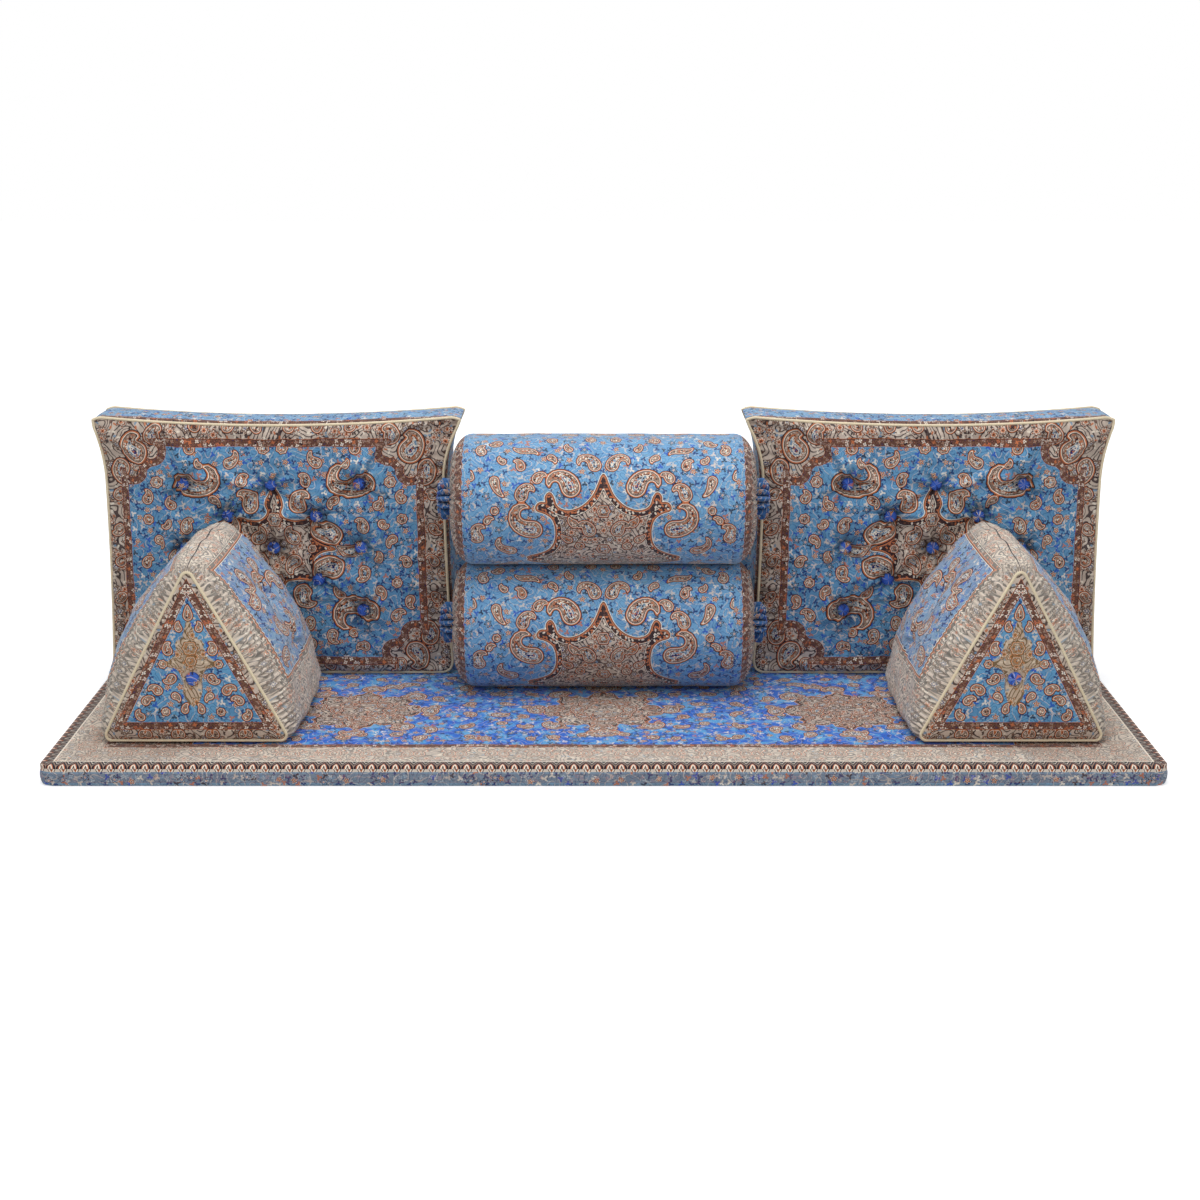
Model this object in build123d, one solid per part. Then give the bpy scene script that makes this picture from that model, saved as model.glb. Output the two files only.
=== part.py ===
"""Floor sofa of loose cushions: one thin mattress that lies on the floor, two tufted back
cushions, two bolsters stacked between them and two wedge arm cushions.

Millimetres. The origin is the middle of the mattress base, +X runs along the sofa to its
right as a sitter's guest sees it from the front, +Y points to the back and +Z is up.
"""
from build123d import *
from math import atan2, cos, degrees, hypot, pi, radians, sin
import os

os.makedirs("parts", exist_ok=True)

# Cloth, piping and twine that every cushion shares
cloth = 2.5
piping_radius = 3.5
twine_radius = 1.6
twine_hole_radius = 2.4
twine_sides = 4
tuft_sides = 6
rest_gap = 0.3
cut_overrun = 5.0
# Shares of a crowned face's shoulder, and of the crown inside it, at each facet's end
shoulder_roll_shares = ((0.16, 0.5), (0.5, 0.84), (1.0, 1.0))
crown_shares = ((0.62, 0.62), (0.22, 1.0))
corner_steps = 3
side_steps = 4

# Floor mattress
mattress_length = 2000.0
mattress_depth = 750.0
mattress_height = 38.0
mattress_corner = 24.0
mattress_edge_roll = 5.0
mattress_base_roll = 3.0
mattress_top_wrap = 11.0
mattress_base_wrap = 4.5
mattress_zip_length = 1100.0
mattress_zip_height = 15.5

# Zip fastener: tape, neck and head of the chain, slider and pull tab
tape_width = 18.0
tape_thickness = 0.8
chain_neck_width = 2.6
chain_neck_height = 1.2
chain_head_width = 5.0
chain_head_height = 1.6
chain_stop_length = 4.0
chain_stop_rise = 1.0
slider_length = 11.0
slider_wall = 1.3
slider_clearance = 0.3
slider_nose = 2.2
bridge_radius = 4.0
bridge_wire = 1.2
bridge_width = 2.0
bridge_sides = 8
pull_bar_radius = 0.45
pull_rim = 0.8
pull_width = 6.4
pull_corner = 1.6
pull_length = 27.0
pull_thickness = 1.1
pull_eye_clearance = 0.4
pull_grip_width = 2.6
pull_grip_length = 5.0

# Back cushions
back_width = 718.0
back_height = 530.0
back_band = 110.0
back_corner = 12.0
back_ear_draw = 30.0
back_foot_flare = 18.0
back_top_draw = 18.0
back_ear_height = 130.0
back_crown = 38.0
back_side_gap = 11.5
back_rear_gap = 107.0
back_shoulder_run = 34.0
back_shoulder_rise = 22.0
back_seam_thickness = 5.0

# Covered buttons of the back cushions, three and two in turn
button_radius = 12.0
button_rim = 2.0
button_dome = 5.0
button_crest_share = 0.55
button_sides = 8
button_clearance = 0.3
button_spacing_x = 174.0
button_spacing_z = 64.5
button_rows = (3, 2, 3, 2, 3)
tuft_mouth_radius = 44.0
tuft_floor = 13.0
back_washer_radius = 9.0
back_washer_thickness = 2.4
washer_sides = 6

# Bolsters
bolster_radius = 125.0
bolster_half_length = 286.5
bolster_rim = 24.0
bolster_dish = 6.0
bolster_gathers = 36
rim_ease_share = 0.3
bolster_rear_gap = 277.0
bolster_zip_length = 400.0
rosette_seat_radius = 32.0
rosette_radius = 42.0
rosette_depth = 36.0
rosette_pleats = 14
rosette_pleat_share = 0.1
# Radius and height of each ring of the gathered rosette, in shares of its full size
rosette_radius_shares = (0.7, 1.0, 0.96, 0.64, 0.3)
rosette_height_shares = (0.0, 0.34, 0.66, 0.94, 0.86)
rosette_button_radius = 10.0
rosette_button_dome = 5.0

# Wedge arm cushions
wedge_length = 362.0
wedge_front_gap = 117.0
wedge_side_gap = 260.0
wedge_end_half_base = 166.5
wedge_end_height = 321.0
wedge_end_lift = 4.0
wedge_end_bow = 2.0
wedge_end_corner = 13.0
wedge_half_base = 186.0
wedge_height = 341.0
wedge_bow = 34.0
wedge_foot_radius = 32.0
wedge_ridge_radius = 50.0
wedge_core_inset = 11.0
wedge_swell = 56.0
wedge_shoulder_run = 46.0
wedge_shoulder_rise = 38.0
end_crown = 10.0
end_edge_roll = 5.0
end_button_height = 125.0
end_tuft_mouth_radius = 24.0
end_tuft_floor = 3.0
side_tuft_heights = (145.0, 240.0)
side_tuft_mouth_radius = 46.0
side_tuft_depth = 17.0
side_knot_radius = 5.0
side_knot_thickness = 2.0

# Places that several pieces below share
quarter = 90.0
mattress_top = mattress_height + rest_gap
bolster_axis_y = mattress_depth / 2 - bolster_rear_gap
bolster_low_z = mattress_top + bolster_radius
bolster_high_z = bolster_low_z + 2 * bolster_radius + rest_gap
zip_stand = tape_thickness + chain_neck_height


def save(name, *solids):
    """Write one piece, or a group of like pieces, under its name."""
    shape = solids[0] if len(solids) == 1 else Compound(children=list(solids))
    export_step(shape, f"parts/{name}.step")


def sweep_arc(centre, radius, start, end, steps):
    """An arc about a centre, from one direction to the other in degrees, in straight facets
    that turn by equal steps."""
    points = []
    for step in range(steps + 1):
        angle = radians(start + (end - start) * step / steps)
        points.append((centre[0] + radius * cos(angle), centre[1] + radius * sin(angle)))
    return Polyline(points)


def rod(radius, sides, low, high, x=0.0, y=0.0):
    """A straight twine or the hole for one, along Z."""
    return extrude(Pos(x, y, low) * RegularPolygon(radius, sides), high - low)


def ring(radius, height, count, notch_share=0.0):
    """Points of a level ring about Z, every other one drawn in by a share of the radius."""
    points = []
    for step in range(count):
        reach = radius * (1 - notch_share * (step % 2))
        angle = 2 * pi * step / count
        points.append(Vector(reach * cos(angle), reach * sin(angle), height))
    return points


def faceted(rings):
    """A closed solid of flat facets between like rings of points, capped at both ends."""
    faces = [Face(Wire.make_polygon(rings[0])), Face(Wire.make_polygon(rings[-1]))]
    for low, high in zip(rings, rings[1:]):
        for step, corner in enumerate(low):
            faces.append(Face(Wire.make_polygon([low[step - 1], corner, high[step], high[step - 1]])))
    return Solid(Shell(faces))


def tuft(mouth, floor, low, high, x=0.0, y=0.0):
    """The pocket that a button pulls into a cushion: a pyramid that widens upwards."""
    return Pos(x, y, 0) * faceted([ring(floor, low, tuft_sides), ring(mouth, high, tuft_sides)])


def button(radius, rim, dome):
    """A covered button about Z: a flat back, a short rim and a shallow dome."""
    crest = ring(button_crest_share * radius, rim + dome, button_sides)
    return faceted([ring(radius, 0.0, button_sides), ring(radius, rim, button_sides), crest])


def piping(outside, inside):
    """Piping about Z along a closed seam line, between its outer and its inner edge."""
    return extrude(outside - inside, 2 * piping_radius)


def crown_profile(half_width, shoulder_run, shoulder_rise, crown, depth):
    """Section of a crowned face over a block: a low crown between two rolled shoulders."""
    shoulder = half_width - shoulder_run
    right = [(half_width, -depth), (half_width, 0)]
    for run_share, rise_share in shoulder_roll_shares:
        right.append((half_width - run_share * shoulder_run, rise_share * shoulder_rise))
    for width_share, rise_share in crown_shares:
        right.append((width_share * shoulder, shoulder_rise + rise_share * (crown - shoulder_rise)))
    left = [(-x, height) for x, height in reversed(right)]
    return Plane.XZ * make_face(Polyline(right + left, close=True))


def crowned(half_width, half_height, shoulder_run, shoulder_rise, crown):
    """A block whose top is crowned above Z = 0 and falls away to all four sides."""
    across = crown_profile(half_width, shoulder_run, shoulder_rise, crown, cut_overrun)
    along = crown_profile(half_height, shoulder_run, shoulder_rise, crown, cut_overrun)
    block = extrude(across, half_height + cut_overrun, both=True)
    return block & Rot(0, 0, quarter) * extrude(along, half_width + cut_overrun, both=True)


button_pocket = (button_radius + button_clearance) / cos(pi / tuft_sides)


# Zip fastener, laid along X with its tape on Z = 0 and its chain upwards
def zip_tape(length):
    """Tape, chain and end stops of a closed zip, one sewn strip."""
    tape = Box(length, tape_width, tape_thickness, align=(Align.CENTER, Align.CENTER, Align.MIN))
    neck = Pos(0, 0, tape_thickness) * Box(
        length, chain_neck_width, chain_neck_height, align=(Align.CENTER, Align.CENTER, Align.MIN)
    )
    head = Pos(0, 0, zip_stand) * Box(
        length, chain_head_width, chain_head_height, align=(Align.CENTER, Align.CENTER, Align.MIN)
    )
    head = chamfer(head.edges().filter_by(Axis.X).group_by(Axis.Z)[-1], chain_head_height / 3)
    stop = Box(
        chain_stop_length,
        chain_head_width + chain_stop_rise,
        chain_head_height + chain_stop_rise,
        align=(Align.CENTER, Align.CENTER, Align.MIN),
    )
    reach = (length - chain_stop_length) / 2
    strip = tape + neck + head
    for side in (-1, 1):
        strip += Pos(side * reach, 0, zip_stand) * stop
    return strip


slider_inner_width = chain_head_width + 2 * slider_clearance
slider_inner_top = zip_stand + chain_head_height + slider_clearance
slider_top = slider_inner_top + slider_wall
slider_foot = tape_thickness + slider_clearance
pull_axis_height = slider_top + pull_thickness / 2 + pull_eye_clearance


def zip_slider():
    """Slider body that hooks under the chain's head, with the bridge that holds the pull."""
    width = slider_inner_width + 2 * slider_wall
    body = Pos(0, 0, slider_foot) * Box(
        slider_length, width, slider_top - slider_foot, align=(Align.CENTER, Align.CENTER, Align.MIN)
    )
    body = chamfer(body.edges().filter_by(Axis.Z), slider_nose)
    head_room = Pos(0, 0, zip_stand - slider_clearance) * Box(
        slider_length + cut_overrun,
        slider_inner_width,
        slider_inner_top - zip_stand + slider_clearance,
        align=(Align.CENTER, Align.CENTER, Align.MIN),
    )
    neck_room = Box(
        slider_length + cut_overrun,
        chain_neck_width + 2 * slider_clearance,
        zip_stand,
        align=(Align.CENTER, Align.CENTER, Align.MIN),
    )
    body = body - head_room - neck_room
    arch = extrude(
        RegularPolygon(bridge_radius, bridge_sides) - RegularPolygon(bridge_radius - bridge_wire, bridge_sides),
        bridge_width / 2,
        both=True,
    )
    above = Pos(0, 0, slider_top) * Box(
        slider_length, bridge_width, 2 * bridge_radius, align=(Align.CENTER, Align.CENTER, Align.MIN)
    )
    return body + (Pos(0, 0, pull_axis_height) * Rot(quarter, 0, 0) * arch & above)


def zip_pull():
    """Pull tab that lies along the chain, its round bar through the slider's bridge."""
    window_length = bridge_radius + pull_eye_clearance
    window_width = bridge_width + 2 * pull_eye_clearance
    plate = Pos(pull_rim - pull_length / 2, 0) * Rectangle(pull_length, pull_width)
    plate = chamfer(plate.vertices(), pull_corner)
    window = Pos(-window_length / 2, 0) * Rectangle(window_length + 2 * pull_rim, window_width)
    grip = Pos(pull_grip_length + pull_rim - pull_length, 0) * Rectangle(
        pull_grip_length, pull_grip_width
    )
    tab = extrude(plate - window - grip, pull_thickness / 2, both=True)
    tab += Rot(quarter, 0, 0) * Cylinder(pull_bar_radius, window_width + pull_bar_radius)
    return Pos(0, 0, pull_axis_height) * tab


def sew_zip(name, length, face_y, z):
    """Write a zip that lies along X on a cushion's rear face, closed at its +X end."""
    place = Pos(0, face_y, z) * Rot(-quarter, 0, 0)
    closed = length / 2 - chain_stop_length - slider_clearance - slider_length / 2
    tape = place * zip_tape(length)
    slider = place * Pos(closed, 0, 0) * zip_slider()
    pull = place * Pos(closed, 0, 0) * zip_pull()
    save(f"{name}_zip_slider", slider)
    save(f"{name}_zip_pull", pull)
    return tape


# Floor mattress: a foam slab in a cover of top panel, side band and base panel
def rolled_slab(length, depth, low, high, corner, top_roll, base_roll):
    """A slab with round corners and eased top and bottom edges."""
    points = []
    for number, (x, y) in enumerate(((1, 1), (-1, 1), (-1, -1), (1, -1))):
        for step in range(corner_steps + 1):
            angle = radians(quarter * (number + step / corner_steps))
            points.append((
                x * (length / 2 - corner) + corner * cos(angle),
                y * (depth / 2 - corner) + corner * sin(angle),
            ))
    slab = extrude(Pos(0, 0, low) * make_face(Polyline(points, close=True)), high - low)
    slab = chamfer(slab.faces().sort_by(Axis.Z)[-1].edges(), top_roll)
    return chamfer(slab.faces().sort_by(Axis.Z)[0].edges(), base_roll)


def layer(low, high):
    """The slice of space between two heights, wider than the mattress."""
    return Pos(0, 0, low) * Box(
        mattress_length + cut_overrun,
        mattress_depth + cut_overrun,
        high - low,
        align=(Align.CENTER, Align.CENTER, Align.MIN),
    )


slab_outside = rolled_slab(
    mattress_length,
    mattress_depth,
    0.0,
    mattress_height,
    mattress_corner,
    mattress_edge_roll,
    mattress_base_roll,
)
foam = rolled_slab(
    mattress_length - 2 * cloth,
    mattress_depth - 2 * cloth,
    cloth,
    mattress_height - cloth,
    mattress_corner - cloth,
    mattress_edge_roll - cloth,
    mattress_base_roll - cloth,
)
cover = slab_outside - foam
top_seam = mattress_height - mattress_top_wrap
save("mattress_foam", foam)
save("mattress_top_panel", cover & layer(top_seam, mattress_height + cut_overrun))
save("mattress_side_band", cover & layer(mattress_base_wrap, top_seam))
save("mattress_base_panel", cover & layer(-cut_overrun, mattress_base_wrap))
save("mattress_zip_tape", sew_zip("mattress", mattress_zip_length, mattress_depth / 2, mattress_zip_height))


# Back cushions, modelled lying on their backs: X across, Y up the back, Z to the front
back_waist = back_width / 2 - back_ear_draw


def concave_radius(reach, draw, corner):
    """Radius of an arc that is level at one end, leaves that level by draw within reach and
    meets a corner arc there without a kink."""
    return (reach ** 2 + (corner - draw) ** 2 - corner ** 2) / (2 * draw)


def turn(start, end):
    """Direction from one point to another, in degrees."""
    return degrees(atan2(end[1] - start[1], end[0] - start[0]))


def back_outline(inset):
    """Seam line of a back cushion with its ears at the top, drawn in evenly by inset.

    Its right half is a straight base, where it rests, and five arcs that meet without a
    kink: foot corner, side, ear, ear corner and brow.
    """
    half_height = back_height / 2
    waist_height = half_height - back_ear_height
    ear = (back_width / 2 - back_corner, half_height - back_corner)
    foot = (back_waist + back_foot_flare - back_corner, back_corner - half_height)
    brow_radius = concave_radius(ear[0], back_top_draw, back_corner)
    ear_radius = concave_radius(ear[1] - waist_height, back_ear_draw, back_corner)
    side_radius = concave_radius(waist_height - foot[1], back_foot_flare, back_corner)
    brow_middle = (0, half_height - back_top_draw + brow_radius)
    ear_middle = (back_waist + ear_radius, waist_height)
    side_middle = (back_waist + side_radius, waist_height)
    foot_turn = turn(foot, side_middle)
    arcs = [
        (foot, back_corner - inset, -quarter, foot_turn, corner_steps),
        (side_middle, side_radius + inset, foot_turn + 2 * quarter, 2 * quarter, corner_steps),
        (ear_middle, ear_radius + inset, 2 * quarter, turn(ear_middle, ear), side_steps),
        (ear, back_corner - inset, turn(ear, ear_middle), turn(ear, brow_middle), corner_steps),
        (brow_middle, brow_radius + inset, turn(brow_middle, ear), -quarter, side_steps),
    ]
    with BuildSketch() as outline:
        with BuildLine():
            Line((-foot[0], inset - half_height), (foot[0], inset - half_height))
            for centre, radius, start, end, steps in arcs:
                sweep_arc(centre, radius, start, end, steps)
                sweep_arc((-centre[0], centre[1]), radius, 2 * quarter - end, 2 * quarter - start, steps)
        make_face()
    return outline.sketch


def button_places():
    """Middles of the buttons, three and two in turn from the top row down."""
    places = []
    for row, count in enumerate(button_rows):
        height = ((len(button_rows) - 1) / 2 - row) * button_spacing_z
        for column in range(count):
            places.append(((column - (count - 1) / 2) * button_spacing_x, height))
    return places


def back_panel_form():
    """The padded face: flat inside, crowned outside, and pulled in at each button."""
    rim = 2 * piping_radius
    crown = crowned(
        back_waist - rim,
        back_height / 2 - back_top_draw - rim,
        back_shoulder_run,
        back_shoulder_rise,
        back_crown,
    )
    form = extrude(back_outline(rim), back_crown) & crown
    form += extrude(back_outline(rim), back_seam_thickness)
    for x, y in button_places():
        form -= tuft(tuft_mouth_radius, button_pocket, tuft_floor, back_crown + rest_gap, x, y)
        form -= rod(twine_hole_radius, twine_sides, -cut_overrun, tuft_floor + cut_overrun, x, y)
    return form


def back_cushion_pieces():
    """Every piece of one back cushion, by name, about the middle of its seams."""
    half_band = back_band / 2
    band_outline = back_outline(0.0)
    core_outline = back_outline(cloth)
    block = extrude(Pos(0, 0, -half_band) * core_outline, back_band)
    band = extrude(Pos(0, 0, -half_band) * band_outline, back_band) - block
    for x, y in button_places():
        block -= rod(
            twine_hole_radius, twine_sides, -half_band - cut_overrun, half_band + cut_overrun, x, y
        )
    front = Pos(0, 0, half_band) * back_panel_form()
    front_cord = Pos(0, 0, half_band) * piping(band_outline, back_outline(2 * piping_radius))
    seat = half_band + tuft_floor
    one_button = Pos(0, 0, seat) * button(button_radius, button_rim, button_dome)
    washer = rod(back_washer_radius, washer_sides, -seat - back_washer_thickness, -seat)
    return {
        "core": [block],
        "side_band": [band],
        "front_panel": [front],
        "back_panel": [mirror(front, about=Plane.XY)],
        "front_piping": [front_cord],
        "back_piping": [mirror(front_cord, about=Plane.XY)],
        "front_buttons": [Pos(x, y, 0) * one_button for x, y in button_places()],
        "back_buttons": [Pos(x, y, 0) * washer for x, y in button_places()],
        "tuft_twines": [rod(twine_radius, twine_sides, -seat, seat, x, y) for x, y in button_places()],
    }


back_pieces = back_cushion_pieces()
back_middle_x = bolster_half_length + back_side_gap + back_waist + back_foot_flare
back_middle_y = mattress_depth / 2 - back_rear_gap - back_band / 2
back_middle_z = mattress_top + back_height / 2
for side, sign in (("left", -1), ("right", 1)):
    place = Pos(sign * back_middle_x, back_middle_y, back_middle_z) * Rot(quarter, 0, 0)
    for piece, solids in back_pieces.items():
        save(f"back_cushion_{side}_{piece}", *[place * solid for solid in solids])


# Bolsters, turned about X: a roll in a tube of cloth with a dished end and a rosette
bolster_seam = bolster_half_length - bolster_rim
bolster_dish_x = bolster_half_length - bolster_dish


def end_cap():
    """Gathered end of a bolster, about Z: it runs round the rim and into a dish."""
    rings = []
    for radius, height in (
        (bolster_radius, 0.0),
        (bolster_radius - rim_ease_share * bolster_rim, (1 - rim_ease_share) * bolster_rim),
        (bolster_radius - bolster_rim, bolster_rim),
        (rosette_seat_radius, bolster_rim - bolster_dish),
    ):
        rings.append(ring(radius, height, bolster_gathers))
    return faceted(rings)


def rosette():
    """Gathered rosette, seated on Z = 0, with a covered button in its well."""
    rings = []
    for radius_share, height_share in zip(rosette_radius_shares, rosette_height_shares):
        radius = radius_share * rosette_radius
        height = height_share * rosette_depth
        rings.append(ring(radius, height, 2 * rosette_pleats, rosette_pleat_share))
    seat = rosette_height_shares[-1] * rosette_depth
    stud = Pos(0, 0, seat) * button(rosette_button_radius, button_rim, rosette_button_dome)
    return [faceted(rings), stud]


def roll(radius):
    """A roll along X in long facets, as many as its end has gathers."""
    return Rot(0, quarter, 0) * extrude(RegularPolygon(radius, bolster_gathers), bolster_seam, both=True)


core_roll = roll(bolster_radius - cloth)
cover_tube = roll(bolster_radius) - core_roll
right_cap = Pos(bolster_seam, 0, 0) * Rot(0, quarter, 0) * end_cap()
right_rosette = [Pos(bolster_dish_x, 0, 0) * Rot(0, quarter, 0) * solid for solid in rosette()]
roll_space = roll(bolster_radius + rest_gap)
for name, axis_z in (("bolster_lower", bolster_low_z), ("bolster_upper", bolster_high_z)):
    place = Pos(0, bolster_axis_y, axis_z)
    save(f"{name}_core", place * core_roll)
    save(f"{name}_cover", place * cover_tube)
    save(f"{name}_right_end", place * right_cap)
    save(f"{name}_left_end", place * mirror(right_cap, about=Plane.YZ))
    save(f"{name}_right_rosette", *[place * solid for solid in right_rosette])
    save(f"{name}_left_rosette", *[place * mirror(solid, about=Plane.YZ) for solid in right_rosette])
    tape = sew_zip(name, bolster_zip_length, bolster_axis_y + bolster_radius + rest_gap, axis_z)
    save(f"{name}_zip_tape", tape - place * roll_space)


# Wedge arm cushions, modelled lying on their rear ends: X across, Y up, Z to the front
def wedge_outline(half_base, height, bow, foot_radius, ridge_radius, lift, inset=0.0):
    """A triangle with round corners and bowed sides, drawn in evenly by inset. Each side is
    an arc that meets two corner arcs without a kink."""
    ridge = (0.0, lift + height - ridge_radius)
    foot = (half_base - foot_radius, lift + foot_radius)
    span = hypot(foot[0] - ridge[0], foot[1] - ridge[1])
    slope = atan2(ridge[1] - foot[1], ridge[0] - foot[0])
    side_radius = span ** 2 / (8 * bow) + bow / 2 + max(foot_radius, ridge_radius)
    to_foot = side_radius - foot_radius
    to_ridge = side_radius - ridge_radius
    along = (to_foot ** 2 - to_ridge ** 2 + span ** 2) / (2 * span)
    across = (to_foot ** 2 - along ** 2) ** 0.5
    middle = (
        foot[0] + along * cos(slope) - across * sin(slope),
        foot[1] + along * sin(slope) + across * cos(slope),
    )
    foot_turn = degrees(atan2(foot[1] - middle[1], foot[0] - middle[0]))
    ridge_turn = degrees(atan2(ridge[1] - middle[1], ridge[0] - middle[0]))
    with BuildSketch() as outline:
        with BuildLine():
            Line((-foot[0], lift + inset), (foot[0], lift + inset))
            for centre, radius, start, end, steps in (
                (foot, foot_radius, -quarter, foot_turn, corner_steps),
                (middle, side_radius, foot_turn, ridge_turn, side_steps),
                (ridge, ridge_radius, ridge_turn, quarter, corner_steps),
            ):
                sweep_arc(centre, radius - inset, start, end, steps)
                sweep_arc(
                    (-centre[0], centre[1]), radius - inset, 2 * quarter - end, 2 * quarter - start, steps
                )
        make_face()
    return outline.sketch


def wedge_section():
    """Full section of the padded body, flat where it rests."""
    return wedge_outline(
        wedge_half_base, wedge_height, wedge_bow, wedge_foot_radius, wedge_ridge_radius, 0.0
    )


def end_outline(inset):
    """Seam line of the triangular end, drawn in evenly by inset."""
    return wedge_outline(
        wedge_end_half_base,
        wedge_end_height,
        wedge_end_bow,
        wedge_end_corner,
        wedge_end_corner,
        wedge_end_lift,
        inset,
    )


def wedge_body():
    """The padded wrap: a bowed section whose sides also fall away to both end seams."""
    half = wedge_length / 2
    foot = Vector(wedge_end_half_base - wedge_end_corner, wedge_end_lift + wedge_end_corner)
    ridge = Vector(0, wedge_end_lift + wedge_end_height - wedge_end_corner)
    outward = (ridge - foot).cross(Vector(0, 0, 1)).normalized()
    seam_middle = (foot + ridge) * 0.5 + outward * wedge_end_corner
    across_side = Plane(origin=seam_middle, x_dir=(0, 0, 1), z_dir=outward)
    profile = crown_profile(
        half, wedge_shoulder_run, wedge_shoulder_rise, wedge_swell, 2 * wedge_half_base
    )
    right_side = across_side * extrude(profile, wedge_height, both=True)
    body = extrude(Pos(0, 0, -half) * wedge_section(), wedge_length)
    return body & right_side & mirror(right_side, about=Plane.YZ)


def side_axis(height):
    """Where a level line at this height leaves the wedge's side: its half width there."""
    level = Plane.XY * Line((0, height), (wedge_half_base + wedge_bow, height))
    return level.intersect(wedge_section()).edges()[0].length


def side_places():
    """Frames on both sides of the wedge at each tuft, Z out of the cloth."""
    frames = []
    for height in side_tuft_heights:
        reach = side_axis(height)
        for sign in (-1, 1):
            frames.append(Pos(sign * reach, height, 0) * Rot(0, sign * quarter, 0))
    return frames


def end_panel():
    """Triangular end: flat inside, an eased edge outside and a pocket for its button."""
    form = extrude(end_outline(2 * piping_radius), end_crown)
    form = chamfer(form.faces().sort_by(Axis.Z)[-1].edges(), end_edge_roll)
    form -= tuft(
        end_tuft_mouth_radius, button_pocket, end_tuft_floor, end_crown + rest_gap, 0, end_button_height
    )
    return form - rod(
        twine_hole_radius, twine_sides, -cut_overrun, end_tuft_floor + cut_overrun, 0, end_button_height
    )


def wedge_pieces():
    """Every piece of one wedge, by name, about the middle of its length."""
    half = wedge_length / 2
    prism = extrude(Pos(0, 0, -half) * end_outline(wedge_core_inset), wedge_length)
    wrap = wedge_body() - prism
    prism -= rod(
        twine_hole_radius, twine_sides, -half - cut_overrun, half + cut_overrun, 0, end_button_height
    )
    knots = []
    for frame in side_places():
        pocket = tuft(
            side_tuft_mouth_radius, side_knot_radius, -side_tuft_depth, side_tuft_depth / 2
        )
        bore = rod(twine_hole_radius, twine_sides, -wedge_half_base, cut_overrun)
        wrap = wrap - frame * pocket - frame * bore
        prism -= frame * bore
        knots.append(frame * rod(side_knot_radius, tuft_sides, -side_tuft_depth,
                                 side_knot_thickness - side_tuft_depth))
    seat = half + end_tuft_floor
    twines = [rod(twine_radius, twine_sides, -seat, seat, 0, end_button_height)]
    for height in side_tuft_heights:
        reach = side_axis(height) - side_tuft_depth
        twines.append(Pos(0, height, 0) * Rot(0, quarter, 0) * rod(twine_radius, twine_sides, -reach, reach))
    front = Pos(0, 0, half) * end_panel()
    cord = Pos(0, 0, half) * piping(end_outline(0.0), end_outline(2 * piping_radius))
    stud = Pos(0, end_button_height, seat) * button(button_radius, button_rim, button_dome)
    return {
        "core": [prism],
        "wrap": [wrap],
        "front_end_panel": [front],
        "back_end_panel": [mirror(front, about=Plane.XY)],
        "front_piping": [cord],
        "back_piping": [mirror(cord, about=Plane.XY)],
        "buttons": [stud, mirror(stud, about=Plane.XY)] + knots,
        "tuft_twines": twines,
    }


arm_pieces = wedge_pieces()
wedge_middle_x = mattress_length / 2 - wedge_side_gap
wedge_middle_y = wedge_front_gap + (wedge_length - mattress_depth) / 2
for side, sign in (("left", -1), ("right", 1)):
    place = Pos(sign * wedge_middle_x, wedge_middle_y, mattress_top) * Rot(quarter, 0, 0)
    for piece, solids in arm_pieces.items():
        save(f"wedge_{side}_{piece}", *[place * solid for solid in solids])
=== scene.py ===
"""Looks of a floor sofa of loose cushions in paisley brocade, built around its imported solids.

Metres, in the frame of the solids: +X along the sofa, +Y to its back, +Z up.
"""
import math

import bpy
import numpy as np
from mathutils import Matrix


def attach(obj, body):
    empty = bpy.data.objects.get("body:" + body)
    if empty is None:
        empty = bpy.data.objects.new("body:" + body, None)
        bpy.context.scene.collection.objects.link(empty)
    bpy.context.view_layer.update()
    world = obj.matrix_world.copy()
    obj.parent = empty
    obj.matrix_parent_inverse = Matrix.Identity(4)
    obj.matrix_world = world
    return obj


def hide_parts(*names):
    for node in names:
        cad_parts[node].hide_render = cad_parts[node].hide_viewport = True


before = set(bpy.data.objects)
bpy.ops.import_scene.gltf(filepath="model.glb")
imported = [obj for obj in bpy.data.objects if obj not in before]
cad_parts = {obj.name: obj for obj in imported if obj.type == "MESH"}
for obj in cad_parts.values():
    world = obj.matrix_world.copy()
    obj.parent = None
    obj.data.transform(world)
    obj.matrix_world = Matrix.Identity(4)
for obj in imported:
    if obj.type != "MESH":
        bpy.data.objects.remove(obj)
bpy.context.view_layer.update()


# Stage: a white studio floor, soft lamps and the camera.
# The camera stands where the photograph's perspective puts it, at a standing person's chest.
camera_data = bpy.data.cameras.new("camera")
camera_data.lens = 57.0
camera_data.sensor_width = 36.0
camera = bpy.data.objects.new("camera", camera_data)
camera.location = (-0.0065, -3.516, 1.230)
camera.rotation_euler = (math.radians(90 - 15.78), 0.0, 0.0)
bpy.context.scene.collection.objects.link(camera)
bpy.context.scene.camera = camera
bpy.context.scene.view_settings.view_transform = "Standard"


def wire(tree, output, target):
    """Join an output socket to an input socket."""
    tree.links.new(output, target)


def seen_share(tree):
    """1 for rays from the camera, in mirrors or through glass, and 0 for light on surfaces."""
    path = tree.nodes.new("ShaderNodeLightPath")
    first = tree.nodes.new("ShaderNodeMath")
    first.operation = "MAXIMUM"
    wire(tree, path.outputs["Is Camera Ray"], first.inputs[0])
    wire(tree, path.outputs["Is Glossy Ray"], first.inputs[1])
    second = tree.nodes.new("ShaderNodeMath")
    second.operation = "MAXIMUM"
    wire(tree, first.outputs[0], second.inputs[0])
    wire(tree, path.outputs["Is Transmission Ray"], second.inputs[1])
    return second.outputs[0]


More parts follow.
